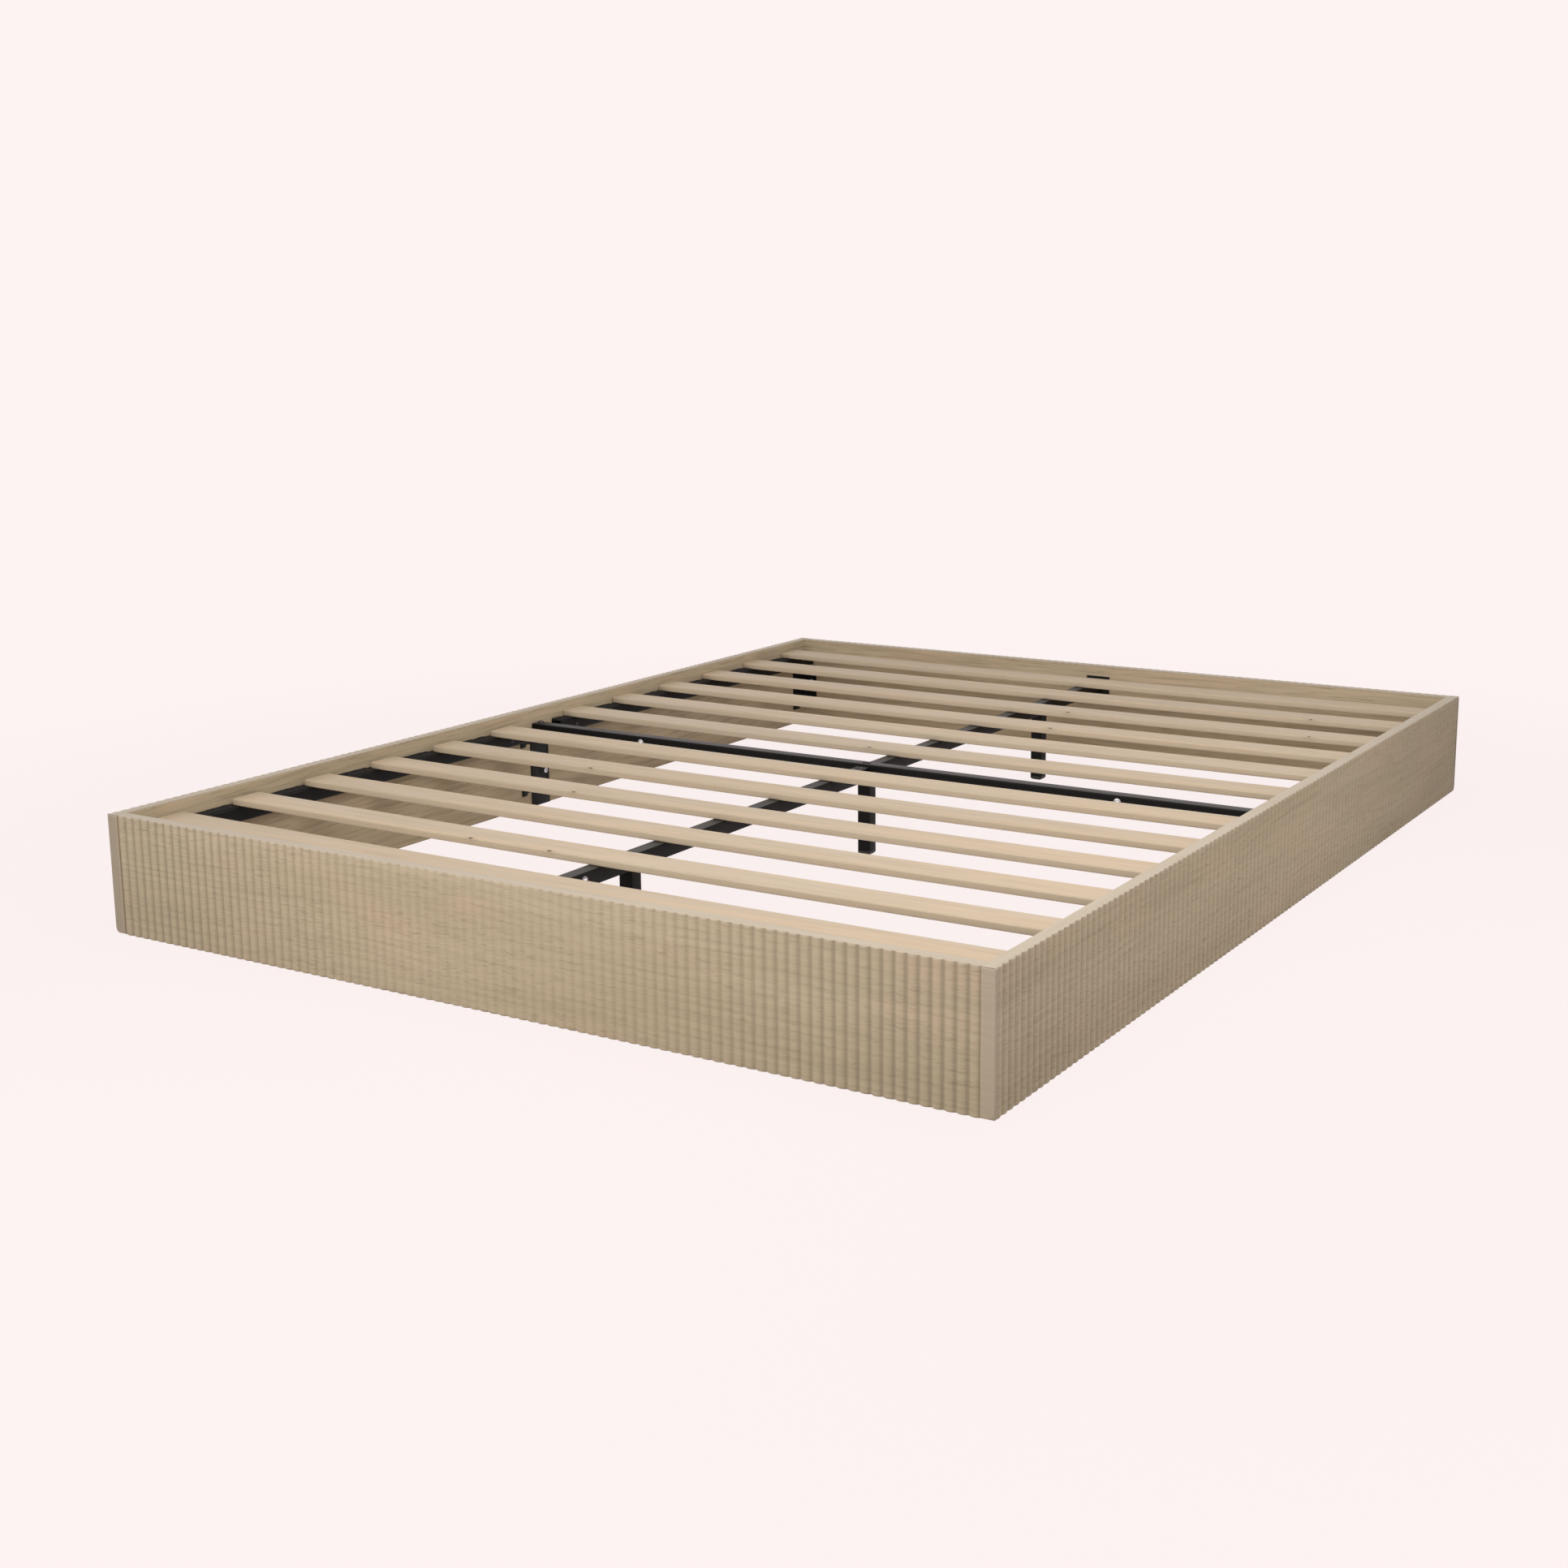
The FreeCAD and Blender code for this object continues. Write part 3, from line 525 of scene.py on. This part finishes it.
def add_panels(skin, inside, band_x, band_y):
    """The six fluted boards and the band on top of each."""
    for node_name in ["front_panel", "back_panel"] + ["side_panel_" + half for half in HALVES]:
        fluted_board(node_name + "_board", node_name, [skin, inside],
                     LOWER_ROUND, UPPER_ROUND)
    for node_name in ["front_edge_band", "back_edge_band"]:
        fluted_board(node_name + "_strip", node_name, [band_x, band_x],
                     UPPER_ROUND / 2, BAND_ROUND)
    for half in HALVES:
        fluted_board("edge_band_%s_strip" % half, "edge_band_" + half, [band_y, band_y],
                     UPPER_ROUND / 2, BAND_ROUND)


# ---- slats ----


def add_slat(number, timber):
    """A loose slat with rounded long edges, eased ends and a slight sag."""
    node_name = "slat_%02d" % number
    low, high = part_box(node_name)
    chance = random.Random(number)
    sag = SLAT_SAG * chance.uniform(0.75, 1.0)
    sway = SLAT_SWAY * chance.uniform(-1.0, 1.0)
    half = (high.x - low.x) / 2
    stations = [low.x, low.x + SLAT_EASE * 0.3, low.x + SLAT_EASE]
    inner = high.x - low.x - 2 * SLAT_EASE
    stations += [low.x + SLAT_EASE + inner * k / SLAT_STATIONS for k in range(1, SLAT_STATIONS)]
    stations += [high.x - SLAT_EASE, high.x - SLAT_EASE * 0.3, high.x]
    rings = []
    for x in stations:
        reach = min(x - low.x, high.x - x)
        tuck = max(SLAT_EASE - reach, 0.0) ** 2 / SLAT_EASE
        bend = 1.0 - (x / half) ** 2
        loop = rounded_rectangle(
            (low.y + tuck, low.z + tuck), (high.y - tuck, high.z - tuck),
            [SLAT_ROUND - tuck] * 4, 6,
        )
        rings.append([(x, y + sway * bend, z - sag * bend) for y, z in loop])
    verts, faces = lofted(rings)
    slat = new_piece(node_name + "_timber", verts, faces, [node_name], [timber],
                     body=node_name)
    paint(slat, "tone", [chance.random()] * len(verts))


# ---- square tube ----


def tube_between(low, high, axis):
    """Hollow square tube along an axis, open at both ends."""
    a, b = [k for k in range(3) if k != axis]
    bore_round = TUBE_ROUND - TUBE_WALL
    outer = rounded_rectangle((low[a], low[b]), (high[a], high[b]), [TUBE_ROUND] * 4, 5)
    inner = rounded_rectangle(
        (low[a] + TUBE_WALL, low[b] + TUBE_WALL),
        (high[a] - TUBE_WALL, high[b] - TUBE_WALL),
        [bore_round] * 4, 5,
    )

    def ring(loop, at):
        points = []
        for first, second in loop:
            point = [0.0, 0.0, 0.0]
            point[axis], point[a], point[b] = at, first, second
            points.append(tuple(point))
        return points

    rings = [ring(outer, low[axis]), ring(outer, high[axis])]
    rings += [ring(inner, high[axis]), ring(inner, low[axis])]
    verts, faces = lofted(rings + [rings[0]], capped=False)
    return verts, faces


def merged(parts):
    """Several (verts, faces) as one."""
    verts, faces = [], []
    for more_verts, more_faces in parts:
        start = len(verts)
        verts += list(more_verts)
        faces += [tuple(index + start for index in face) for face in more_faces]
    return verts, faces


def rounded_block(low, high, axis, radius, ease):
    """Solid bar along an axis with rounded long edges and eased ends."""
    a, b = [k for k in range(3) if k != axis]
    rings = []
    for at, tuck in ((low[axis], ease), (low[axis] + ease, 0.0),
                     (high[axis] - ease, 0.0), (high[axis], ease)):
        loop = rounded_rectangle(
            (low[a] + tuck, low[b] + tuck), (high[a] - tuck, high[b] - tuck), [radius] * 4, 4
        )
        ring = []
        for first, second in loop:
            point = [0.0, 0.0, 0.0]
            point[axis], point[a], point[b] = at, first, second
            ring.append(tuple(point))
        rings.append(ring)
    return lofted(rings)


def weld_bead(points, radius, chance):
    """A lumpy bead along a run of points, with the ripples of a hand weld."""
    rings = []
    total = len(points)
    for index, point in enumerate(points):
        ahead = Vector(points[min(index + 1, total - 1)]) - Vector(points[max(index - 1, 0)])
        side = ahead.normalized().orthogonal().normalized()
        up = ahead.normalized().cross(side)
        size = radius * (0.8 + 0.25 * math.sin(index * 1.9) + chance.uniform(-0.1, 0.1))
        if index in (0, total - 1):
            size *= 0.3
        rings.append([
            tuple(Vector(point) + side * size * math.cos(angle) + up * size * math.sin(angle))
            for angle in [math.tau * k / 8 for k in range(8)]
        ])
    return lofted(rings)


def run_of_points(start, end, step):
    """Evenly spaced points from start to end, about a step apart."""
    start, end = Vector(start), Vector(end)
    count = max(int((end - start).length / step), 4)
    return [tuple(start.lerp(end, k / count)) for k in range(count + 1)]


def add_tubes(steel):
    """Ledgers and beams as plain tubes, and the crossbar with its stubs for the beams."""
    names = ["ledger_" + half for half in HALVES] + ["centre_beam_front", "centre_beam_rear"]
    for name in names:
        verts, faces = tube_between(*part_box(name), 1)
        new_piece(name + "_tube", verts, faces, [name], [steel])
    low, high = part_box("crossbar")
    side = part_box("ledger_left_front")[1].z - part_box("ledger_left_front")[0].z
    bar_low = Vector((low.x, -side / 2, high.z - side))
    bar_high = Vector((high.x, side / 2, high.z))
    core = side / 2 - TUBE_WALL - PLUG_GAP
    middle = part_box("centre_beam_front")[1].z - side / 2
    parts = [tube_between(bar_low, bar_high, 0)]
    for start, stop in ((low.y, -side / 2), (side / 2, high.y)):
        block = (Vector((-core, start, middle - core)), Vector((core, stop, middle + core)))
        parts.append(rounded_block(*block, 1, 1.5 * MM, 0.5 * MM))
    verts, faces = merged(parts)
    new_piece("crossbar_tube", verts, faces, ["crossbar"], [steel])


def add_legs(steel, plastic):
    """Tube legs with a weld bead round the top, over chamfered feet."""
    chance = random.Random(5)
    for name in ("front", "middle", "rear"):
        low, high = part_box("leg_" + name)
        foot_low, foot_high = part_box("foot_" + name)
        half = (high.x - low.x) / 2
        middle = (foot_low.y + foot_high.y) / 2
        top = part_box("centre_beam_front")[0].z
        square_low = Vector((-half, middle - half, low.z))
        square_high = Vector((half, middle + half, high.z))
        parts = [tube_between(square_low, square_high, 2)]
        bead = BEAD_RADIUS
        for x in (-half, half):
            run = run_of_points((x, middle - half + bead, top - bead * 0.4),
                                (x, middle + half - bead, top - bead * 0.4), BEAD_STEP)
            parts.append(weld_bead(run, bead, chance))
        if name == "middle":
            gusset = middle - half - low.y
            corners = [(middle - half, top - gusset), (middle - half, top), (low.y, top)]
            verts = [(x, y, z) for x in (-half + GUSSET_INSET, half - GUSSET_INSET) for y, z in corners]
            parts.append((verts, [(0, 1, 2), (5, 4, 3), (0, 3, 4, 1), (1, 4, 5, 2), (2, 5, 3, 0)]))
        verts, faces = merged(parts)
        new_piece("leg_%s_tube" % name, verts, faces, ["leg_" + name], [steel])

        rings = []
        for level, tuck in FOOT_LEVELS:
            reach = half - tuck * MM
            loop = rounded_rectangle((-reach, middle - reach), (reach, middle + reach),
                                     [FOOT_ROUND] * 4)
            rings.append([(x, y, level * MM) for x, y in loop])
        core = half - TUBE_WALL - PLUG_GAP
        for level in (FOOT_LEVELS[-1][0] * MM, foot_high.z):
            loop = rounded_rectangle((-core, middle - core), (core, middle + core),
                                     [PLUG_ROUND] * 4)
            rings.append([(x, y, level) for x, y in loop])
        verts, faces = lofted(rings)
        new_piece("foot_%s_cap" % name, verts, faces, ["foot_" + name], [plastic])


# ---- felt strips ----


SLAT_SPANS = [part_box("slat_%02d" % number) for number in range(1, SLAT_COUNT + 1)]


def slat_cover(y):
    """1 under a slat, 0 well clear of every slat, smooth between."""
    gap = min(max(low.y - y, y - high.y, 0.0) for low, high in SLAT_SPANS)
    return max(1.0 - gap / COVER_FADE, 0.0)


def add_felt(side, end, cloth):
    """A fuzzy strip whose torn edge stands up against the panel between the slats."""
    name = "felt_strip_%s_%s" % (side, end)
    low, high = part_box(name)
    chance = random.Random(name)
    wall, inner = (low.x, high.x) if side == "left" else (high.x, low.x)
    inward = 1.0 if side == "left" else -1.0
    length = high.y - low.y
    stations = int(length / FELT_STATION)
    rings = []
    ridge, lump = 0.5, 0.5
    for k in range(stations + 1):
        y = low.y + length * k / stations
        lump = min(max(lump + chance.uniform(-0.16, 0.16), 0.0), 1.0)
        ridge = 0.7 * ridge + 0.3 * lump + chance.uniform(-0.08, 0.08)
        rise = FELT_RIDGE * max(ridge, 0.0) * (1.0 - slat_cover(y))
        top = high.z - abs(chance.gauss(0.0, 0.08)) * MM
        edge = inner - inward * abs(chance.gauss(0.0, 0.4)) * MM
        section = [
            (wall, low.z), (wall, top + rise), (wall + inward * 1.6 * MM, top + rise * 0.8),
            (wall + inward * 4.0 * MM, top + rise * 0.15), (wall + inward * 8.0 * MM, top),
            (edge - inward * 0.8 * MM, top), (edge, top - 0.7 * MM), (edge, low.z),
        ]
        rings.append([(x, y, z) for x, z in section])
    verts, faces = lofted(rings)
    for _ in range(int(length * FIBRES_PER_METRE)):
        spot = chance.randrange(stations)
        corner = 1 if chance.random() < 0.4 else chance.choice((2, 3, 4, 5))
        at = Vector(rings[spot][corner]).lerp(Vector(rings[spot + 1][corner + 1]), chance.random())
        turn = chance.uniform(0.0, math.tau)
        free = 1.0 - slat_cover(at.y)
        reach = FIBRE_LENGTH * chance.uniform(0.4, 1.0)
        lean = Vector((math.cos(turn), math.sin(turn), chance.uniform(0.0, 0.7) * free)) * reach
        tip = at + lean
        tip.x = min(max(tip.x, low.x), high.x + FELT_OVERHANG) if side == "left" else (
            max(min(tip.x, high.x), low.x - FELT_OVERHANG))
        tip.y = min(max(tip.y, low.y), high.y)
        across = Vector((-lean.y, lean.x, 0.0)).normalized() * FIBRE_HALF_MM * MM
        start = len(verts)
        verts += [tuple(at - across), tuple(at + across), tuple(tip)]
        faces.append((start, start + 1, start + 2))
    new_piece(name + "_pile", verts, faces, [name], [cloth])


# ---- fasteners ----


def islands(node_name):
    """The separate solids in a node, each as a list of its points."""
    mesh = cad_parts[node_name].data
    spots = [tuple(round(c / (0.01 * MM)) for c in v.co) for v in mesh.vertices]
    parent = {spot: spot for spot in spots}

    def root(spot):
        while parent[spot] != spot:
            parent[spot] = parent[parent[spot]]
            spot = parent[spot]
        return spot

    for edge in mesh.edges:
        parent[root(spots[edge.vertices[0]])] = root(spots[edge.vertices[1]])
    groups = {}
    for vertex, spot in zip(mesh.vertices, spots):
        groups.setdefault(root(spot), []).append(vertex.co.copy())
    return list(groups.values())


def turned(base, out, profile):
    """A lathed form: each step of the profile is (height, radius or outline function)."""
    side = out.orthogonal().normalized()
    across = out.cross(side)
    rings = []
    for height, outline in profile:
        ring = []
        for k in range(TURNED_STEPS):
            angle = math.tau * k / TURNED_STEPS
            radius = outline(angle) if callable(outline) else outline
            ring.append(tuple(base + out * height
                              + (side * math.cos(angle) + across * math.sin(angle)) * radius))
        rings.append(ring)
    return rings


def hexagonal(reach):
    """Radius of a hexagon round the angle, from its corner distance."""
    flat = reach * math.cos(math.pi / 6)
    return lambda angle: flat / math.cos((angle + math.pi / 6) % (math.pi / 3) - math.pi / 6)


def crossed(reach):
    """Radius of a cross recess round the angle."""
    return lambda angle: reach * (0.28 + 0.72 * abs(math.cos(2 * angle)) ** 4)


def measured_bolt(points):
    """Place, outward direction and sizes of one CAD bolt, from its points."""
    low = Vector([min(p[k] for p in points) for k in range(3)])
    high = Vector([max(p[k] for p in points) for k in range(3)])
    axis = max(range(3), key=lambda k: high[k] - low[k])
    middle = (low + high) / 2

    def spread(points_there):
        return max((Vector(p) - middle - Vector([(p - middle)[k] if k == axis else 0.0
                    for k in range(3)])).length for p in points_there)

    edge = 0.05 * MM
    at_low = spread([p for p in points if p[axis] < low[axis] + edge])
    at_high = spread([p for p in points if p[axis] > high[axis] - edge])
    out = Vector([0.0, 0.0, 0.0])
    out[axis] = 1.0 if at_high > at_low else -1.0
    base = middle.copy()
    base[axis] = high[axis] if at_high > at_low else low[axis]
    return base, out, max(at_low, at_high), min(at_low, at_high), high[axis] - low[axis]


def add_bolts(node_name, metal, head, recess, recess_depth):
    """Domed heads with a recess, on plain shanks, where the CAD bolts are."""
    parts = []
    for points in islands(node_name):
        top, out, radius, shank, length = measured_bolt(points)
        under = -head
        profile = [
            (-length, shank * 0.8), (-length + 0.8 * MM, shank), (under, shank),
            (under, radius * 0.97), (under + head * 0.12, radius), (under + head * 0.4, radius * 0.98),
            (under + head * 0.7, radius * 0.88), (under + head * 0.92, radius * 0.7),
            (0.0, radius * 0.5), (0.0, recess), (-recess_depth, recess),
        ]
        parts.append(lofted(turned(top, out, profile)))
    verts, faces = merged(parts)
    new_piece(node_name + "_set", verts, faces, [node_name], [metal])


def add_rings(node_name, metal, hole, outline):
    """Washers or nuts: a bevelled ring with a plain hole."""
    parts = []
    for points in islands(node_name):
        low = Vector([min(p[k] for p in points) for k in range(3)])
        high = Vector([max(p[k] for p in points) for k in range(3)])
        axis = min(range(3), key=lambda k: high[k] - low[k])
        thick = high[axis] - low[axis]
        out = Vector([1.0 if k == axis else 0.0 for k in range(3)])
        base = (low + high) / 2
        base[axis] = low[axis]
        wide = (high - low)[(axis + 1) % 3] / 2
        slim = min((high - low)[(axis + 1) % 3], (high - low)[(axis + 2) % 3]) / 2
        rim = hexagonal(slim / math.cos(math.pi / 6)) if outline == "nut" else wide
        crown = slim * 0.97 if outline == "nut" else wide * 0.96
        profile = [
            (0.0, hole), (0.0, crown), (thick * 0.15, rim), (thick * 0.85, rim),
            (thick, crown), (thick, hole), (0.0, hole),
        ]
        parts.append(lofted(turned(base, out, profile), capped=False))
    verts, faces = merged(parts)
    new_piece(node_name + "_set", verts, faces, [node_name], [metal])


def add_fasteners(zinc, blacked):
    """Bolts with hexagon sockets, screws with a cross, washers and nuts."""
    hexes = hexagonal(2.6 * MM)
    add_bolts("bracket_bolts", zinc, 3.0 * MM, hexes, 1.8 * MM)
    add_bolts("through_bolts", zinc, 3.0 * MM, hexagonal(2.0 * MM), 1.8 * MM)
    add_bolts("crossbar_end_bolts", blacked, 4.0 * MM, hexes, 2.0 * MM)
    add_bolts("ledger_screws", blacked, 2.0 * MM, crossed(2.2 * MM), 1.2 * MM)
    add_bolts("crossing_screws", blacked, 2.0 * MM, crossed(2.2 * MM), 1.2 * MM)
    add_rings("washers", zinc, 3.2 * MM, "washer")
    add_rings("nuts", zinc, 3.2 * MM, "nut")


def add_plates(steel):
    """Sheet steel brackets: the CAD shape with its cut edges eased."""
    for name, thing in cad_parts.items():
        if "bracket_" not in name or name == "bracket_bolts":
            continue
        shape = bmesh.new()
        shape.from_mesh(thing.data)
        bmesh.ops.remove_doubles(shape, verts=shape.verts, dist=PLATE_WELD)
        bmesh.ops.dissolve_limit(shape, angle_limit=PLATE_FLAT_ANGLE, verts=shape.verts,
                                 edges=shape.edges)
        cut = [edge for edge in shape.edges if edge.calc_face_angle(0.0) > PLATE_EDGE_ANGLE]
        bmesh.ops.bevel(shape, geom=cut, offset=PLATE_EASE, segments=2, profile=0.5,
                        affect="EDGES", clamp_overlap=True)
        shape.verts.index_update()
        verts = [tuple(vertex.co) for vertex in shape.verts]
        faces = [tuple(vertex.index for vertex in face.verts) for face in shape.faces]
        shape.free()
        new_piece(name + "_plate", verts, faces, [name], [steel])


# ---- camera, matched to the photograph's seven visible corners ----

CAMERA_AT = Vector((1.8893, -3.2143, 0.9837))
CAMERA_TURN = math.radians(31.145)
CAMERA_PITCH = math.radians(11.733)
CAMERA_ROLL = math.radians(-0.289)
FOCAL_PIXELS = 2583.4
AIM_PIXEL = (1036.9, 914.1)


def add_camera():
    """Camera at the photograph's place, with its focal length and centre."""
    data = bpy.data.cameras.new("camera")
    data.sensor_width = 36.0
    data.lens = FOCAL_PIXELS * data.sensor_width / PHOTO_SIDE
    data.shift_x = (PHOTO_SIDE / 2 - AIM_PIXEL[0]) / PHOTO_SIDE
    data.shift_y = (AIM_PIXEL[1] - PHOTO_SIDE / 2) / PHOTO_SIDE
    data.clip_end = 60.0
    camera = bpy.data.objects.new("camera", data)
    camera.location = CAMERA_AT
    upright = Euler((math.radians(90) - CAMERA_PITCH, 0.0, CAMERA_TURN), "XYZ")
    roll = Euler((0.0, 0.0, CAMERA_ROLL), "XYZ")
    camera.rotation_mode = "QUATERNION"
    camera.rotation_quaternion = upright.to_quaternion() @ roll.to_quaternion()
    bpy.context.scene.collection.objects.link(camera)
    bpy.context.scene.camera = camera


# ---- light, floor and background ----

PAPER = (0.982, 0.896, 0.888, 1.0)
FLOOR_COLOUR = (0.80, 0.74, 0.72, 1.0)
FLOOR_REACH = 14.0
FILL_COLOUR = (1.0, 0.975, 0.95, 1.0)
FILL_STRENGTH = 0.307
LAMP_COLOUR = (1.0, 0.97, 0.93)
SHADOW_SHARE = 0.06
SHADOW_REACH = (1.3, 2.5)


def add_lamp(name, at, size, power, aim):
    """A soft rectangular lamp that the camera doesn't see."""
    data = bpy.data.lights.new(name, "AREA")
    data.shape = "RECTANGLE"
    data.size, data.size_y = size
    data.energy = power
    data.color = LAMP_COLOUR
    lamp = bpy.data.objects.new(name, data)
    lamp.location = at
    lamp.rotation_mode = "QUATERNION"
    lamp.rotation_quaternion = (Vector(aim) - Vector(at)).to_track_quat("-Z", "Y")
    lamp.visible_camera = False
    bpy.context.scene.collection.objects.link(lamp)


def sees_paper(tree):
    """1 for rays from the camera, and for those that a surface mirrors or lets through."""
    path = node(tree, "ShaderNodeLightPath").outputs
    mirrored = sums(tree, "MAXIMUM", path["Is Glossy Ray"], path["Is Transmission Ray"])
    return sums(tree, "MAXIMUM", path["Is Camera Ray"], mirrored)


def add_world():
    """Even soft fill; the camera sees plain pale paper."""
    world = bpy.data.worlds.new("studio")
    bpy.context.scene.world = world
    world.use_nodes = True
    tree = world.node_tree
    tree.nodes.clear()
    fill = node(tree, "ShaderNodeBackground", {"Color": FILL_COLOUR, "Strength": FILL_STRENGTH})
    paper = node(tree, "ShaderNodeBackground", {"Color": PAPER})
    both = node(tree, "ShaderNodeMixShader", {0: sees_paper(tree), 1: fill.outputs[0], 2: paper.outputs[0]})
    node(tree, "ShaderNodeOutputWorld", {"Surface": both.outputs[0]})


def add_floor():
    """Pale matt floor that the camera sees as paper, with a faint share of its shadows."""
    mesh = bpy.data.meshes.new("floor")
    corners = [(-1, -1), (1, -1), (1, 1), (-1, 1)]
    mesh.from_pydata([(x * FLOOR_REACH, y * FLOOR_REACH, 0.0) for x, y in corners], [],
                     [(0, 1, 2, 3)])
    floor = bpy.data.objects.new("floor", mesh)
    bpy.context.scene.collection.objects.link(floor)
    material, tree = new_material("floor_paper")
    distance = node(tree, "ShaderNodeVectorMath", {0: object_place(tree)}, operation="LENGTH")
    paper = ramp(tree, distance.outputs["Value"], *SHADOW_REACH, 1.0 - SHADOW_SHARE, 1.0)
    share = sums(tree, "MULTIPLY", sees_paper(tree), paper)
    matt = node(tree, "ShaderNodeBsdfDiffuse", {"Color": FLOOR_COLOUR})
    glow = node(tree, "ShaderNodeEmission", {"Color": PAPER})
    both = node(tree, "ShaderNodeMixShader", {0: share, 1: matt.outputs[0], 2: glow.outputs[0]})
    node(tree, "ShaderNodeOutputMaterial", {"Surface": both.outputs[0]})
    mesh.materials.append(material)


def add_studio():
    """World, floor and lamps, at a level that shows colours about as written."""
    bpy.context.scene.view_settings.view_transform = "Standard"
    add_world()
    add_floor()
    add_lamp("overhead", (-0.3, 0.6, 3.2), (3.0, 3.0), 25.4, (0.0, 0.0, 0.1))
    add_lamp("near_right", (1.5, -1.5, 2.2), (1.6, 1.6), 14.4, (0.2, -0.3, 0.1))
    add_lamp("above_right", (1.0, -0.5, 1.8), (1.4, 1.4), 14.0, (0.5, -0.4, 0.1))
    add_lamp("front_near", (0.05, -2.15, 0.75), (1.5, 0.7), 7.3, (0.05, -1.0, 0.1))
    add_lamp("front_left", (-1.4, -3.2, 1.3), (1.6, 1.0), 14.8, (-0.1, -1.0, 0.1))
    add_lamp("side_low", (1.5, 0.0, 0.35), (0.8, 0.3), 0.42, (0.8, 0.0, 0.1))
    add_lamp("rear_left", (-2.2, 2.5, 0.1), (2.0, 0.16), 14.0, (-0.4, 0.6, 0.1))


# ---- assembly ----

LAMINATE_BASE = (0.505, 0.425, 0.300, 1.0)
LAMINATE_DARK = (0.455, 0.378, 0.260, 1.0)
LAMINATE_WARM = (0.535, 0.415, 0.300, 1.0)
# the inside copy of the laminate is lighter than the outer skin: painted light on the inner walls
INSIDE_BASE = (0.585, 0.478, 0.330, 1.0)
INSIDE_DARK = (0.495, 0.394, 0.260, 1.0)
INSIDE_WARM = (0.610, 0.470, 0.320, 1.0)
BAND_BASE = (0.508, 0.437, 0.342, 1.0)
BAND_DARK = (0.450, 0.385, 0.298, 1.0)
SLAT_BASE = (0.556, 0.460, 0.340, 1.0)
SLAT_DARK = (0.470, 0.365, 0.248, 1.0)
SLAT_WARM = (0.605, 0.475, 0.335, 1.0)

# small dark knots at the front edges of some slats: (x, slat number)
KNOTS = [
    (-0.240, 2), (-0.084, 2), (-0.297, 4), (-0.389, 5), (-0.047, 7),
    (0.167, 9), (0.128, 10), (0.631, 10), (0.579, 11),
]
KNOT_SIZE = 2.3 * MM
KNOT_INSET = 2.0 * MM
KNOT_DROP = 0.4 * MM
KNOT_SAG_SHARE = 0.85


def knot_places():
    """Where each knot sits and how large it is."""
    places = []
    for x, number in KNOTS:
        low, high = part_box("slat_%02d" % number)
        top = high.z - KNOT_DROP - SLAT_SAG * KNOT_SAG_SHARE
        places.append(((x, low.y + KNOT_INSET, top), KNOT_SIZE))
    return places


add_camera()
add_studio()
skin = laminate("fluted_wood", LAMINATE_BASE, LAMINATE_DARK, LAMINATE_WARM, 1.0, 0.44)
inside = laminate("panel_inside", INSIDE_BASE, INSIDE_DARK, INSIDE_WARM, 1.45, 0.0, 15.0)
band_x = solid_wood("edge_band_across", BAND_BASE, BAND_DARK, BAND_BASE, "X")
band_y = solid_wood("edge_band_along", BAND_BASE, BAND_DARK, BAND_BASE, "Y")
timber = solid_wood("slat_wood", SLAT_BASE, SLAT_DARK, SLAT_WARM, "X", knot_places(), 0.5)
steel = black_steel()
cloth = felt()
plastic = moulded_black()
zinc = plated("zinc", (0.62, 0.62, 0.64, 1.0), (0.45, 0.45, 0.46, 1.0), 0.28, 0.42)
blacked = plated("blacked_screw", (0.05, 0.05, 0.052, 1.0), (0.09, 0.085, 0.08, 1.0), 0.3, 0.5)

add_panels(skin, inside, band_x, band_y)
for slat_number in range(1, SLAT_COUNT + 1):
    add_slat(slat_number, timber)
add_tubes(steel)
add_legs(steel, plastic)
for felt_side in ("left", "right"):
    for felt_end in ("front", "rear"):
        add_felt(felt_side, felt_end, cloth)
add_fasteners(zinc, blacked)
add_plates(steel)
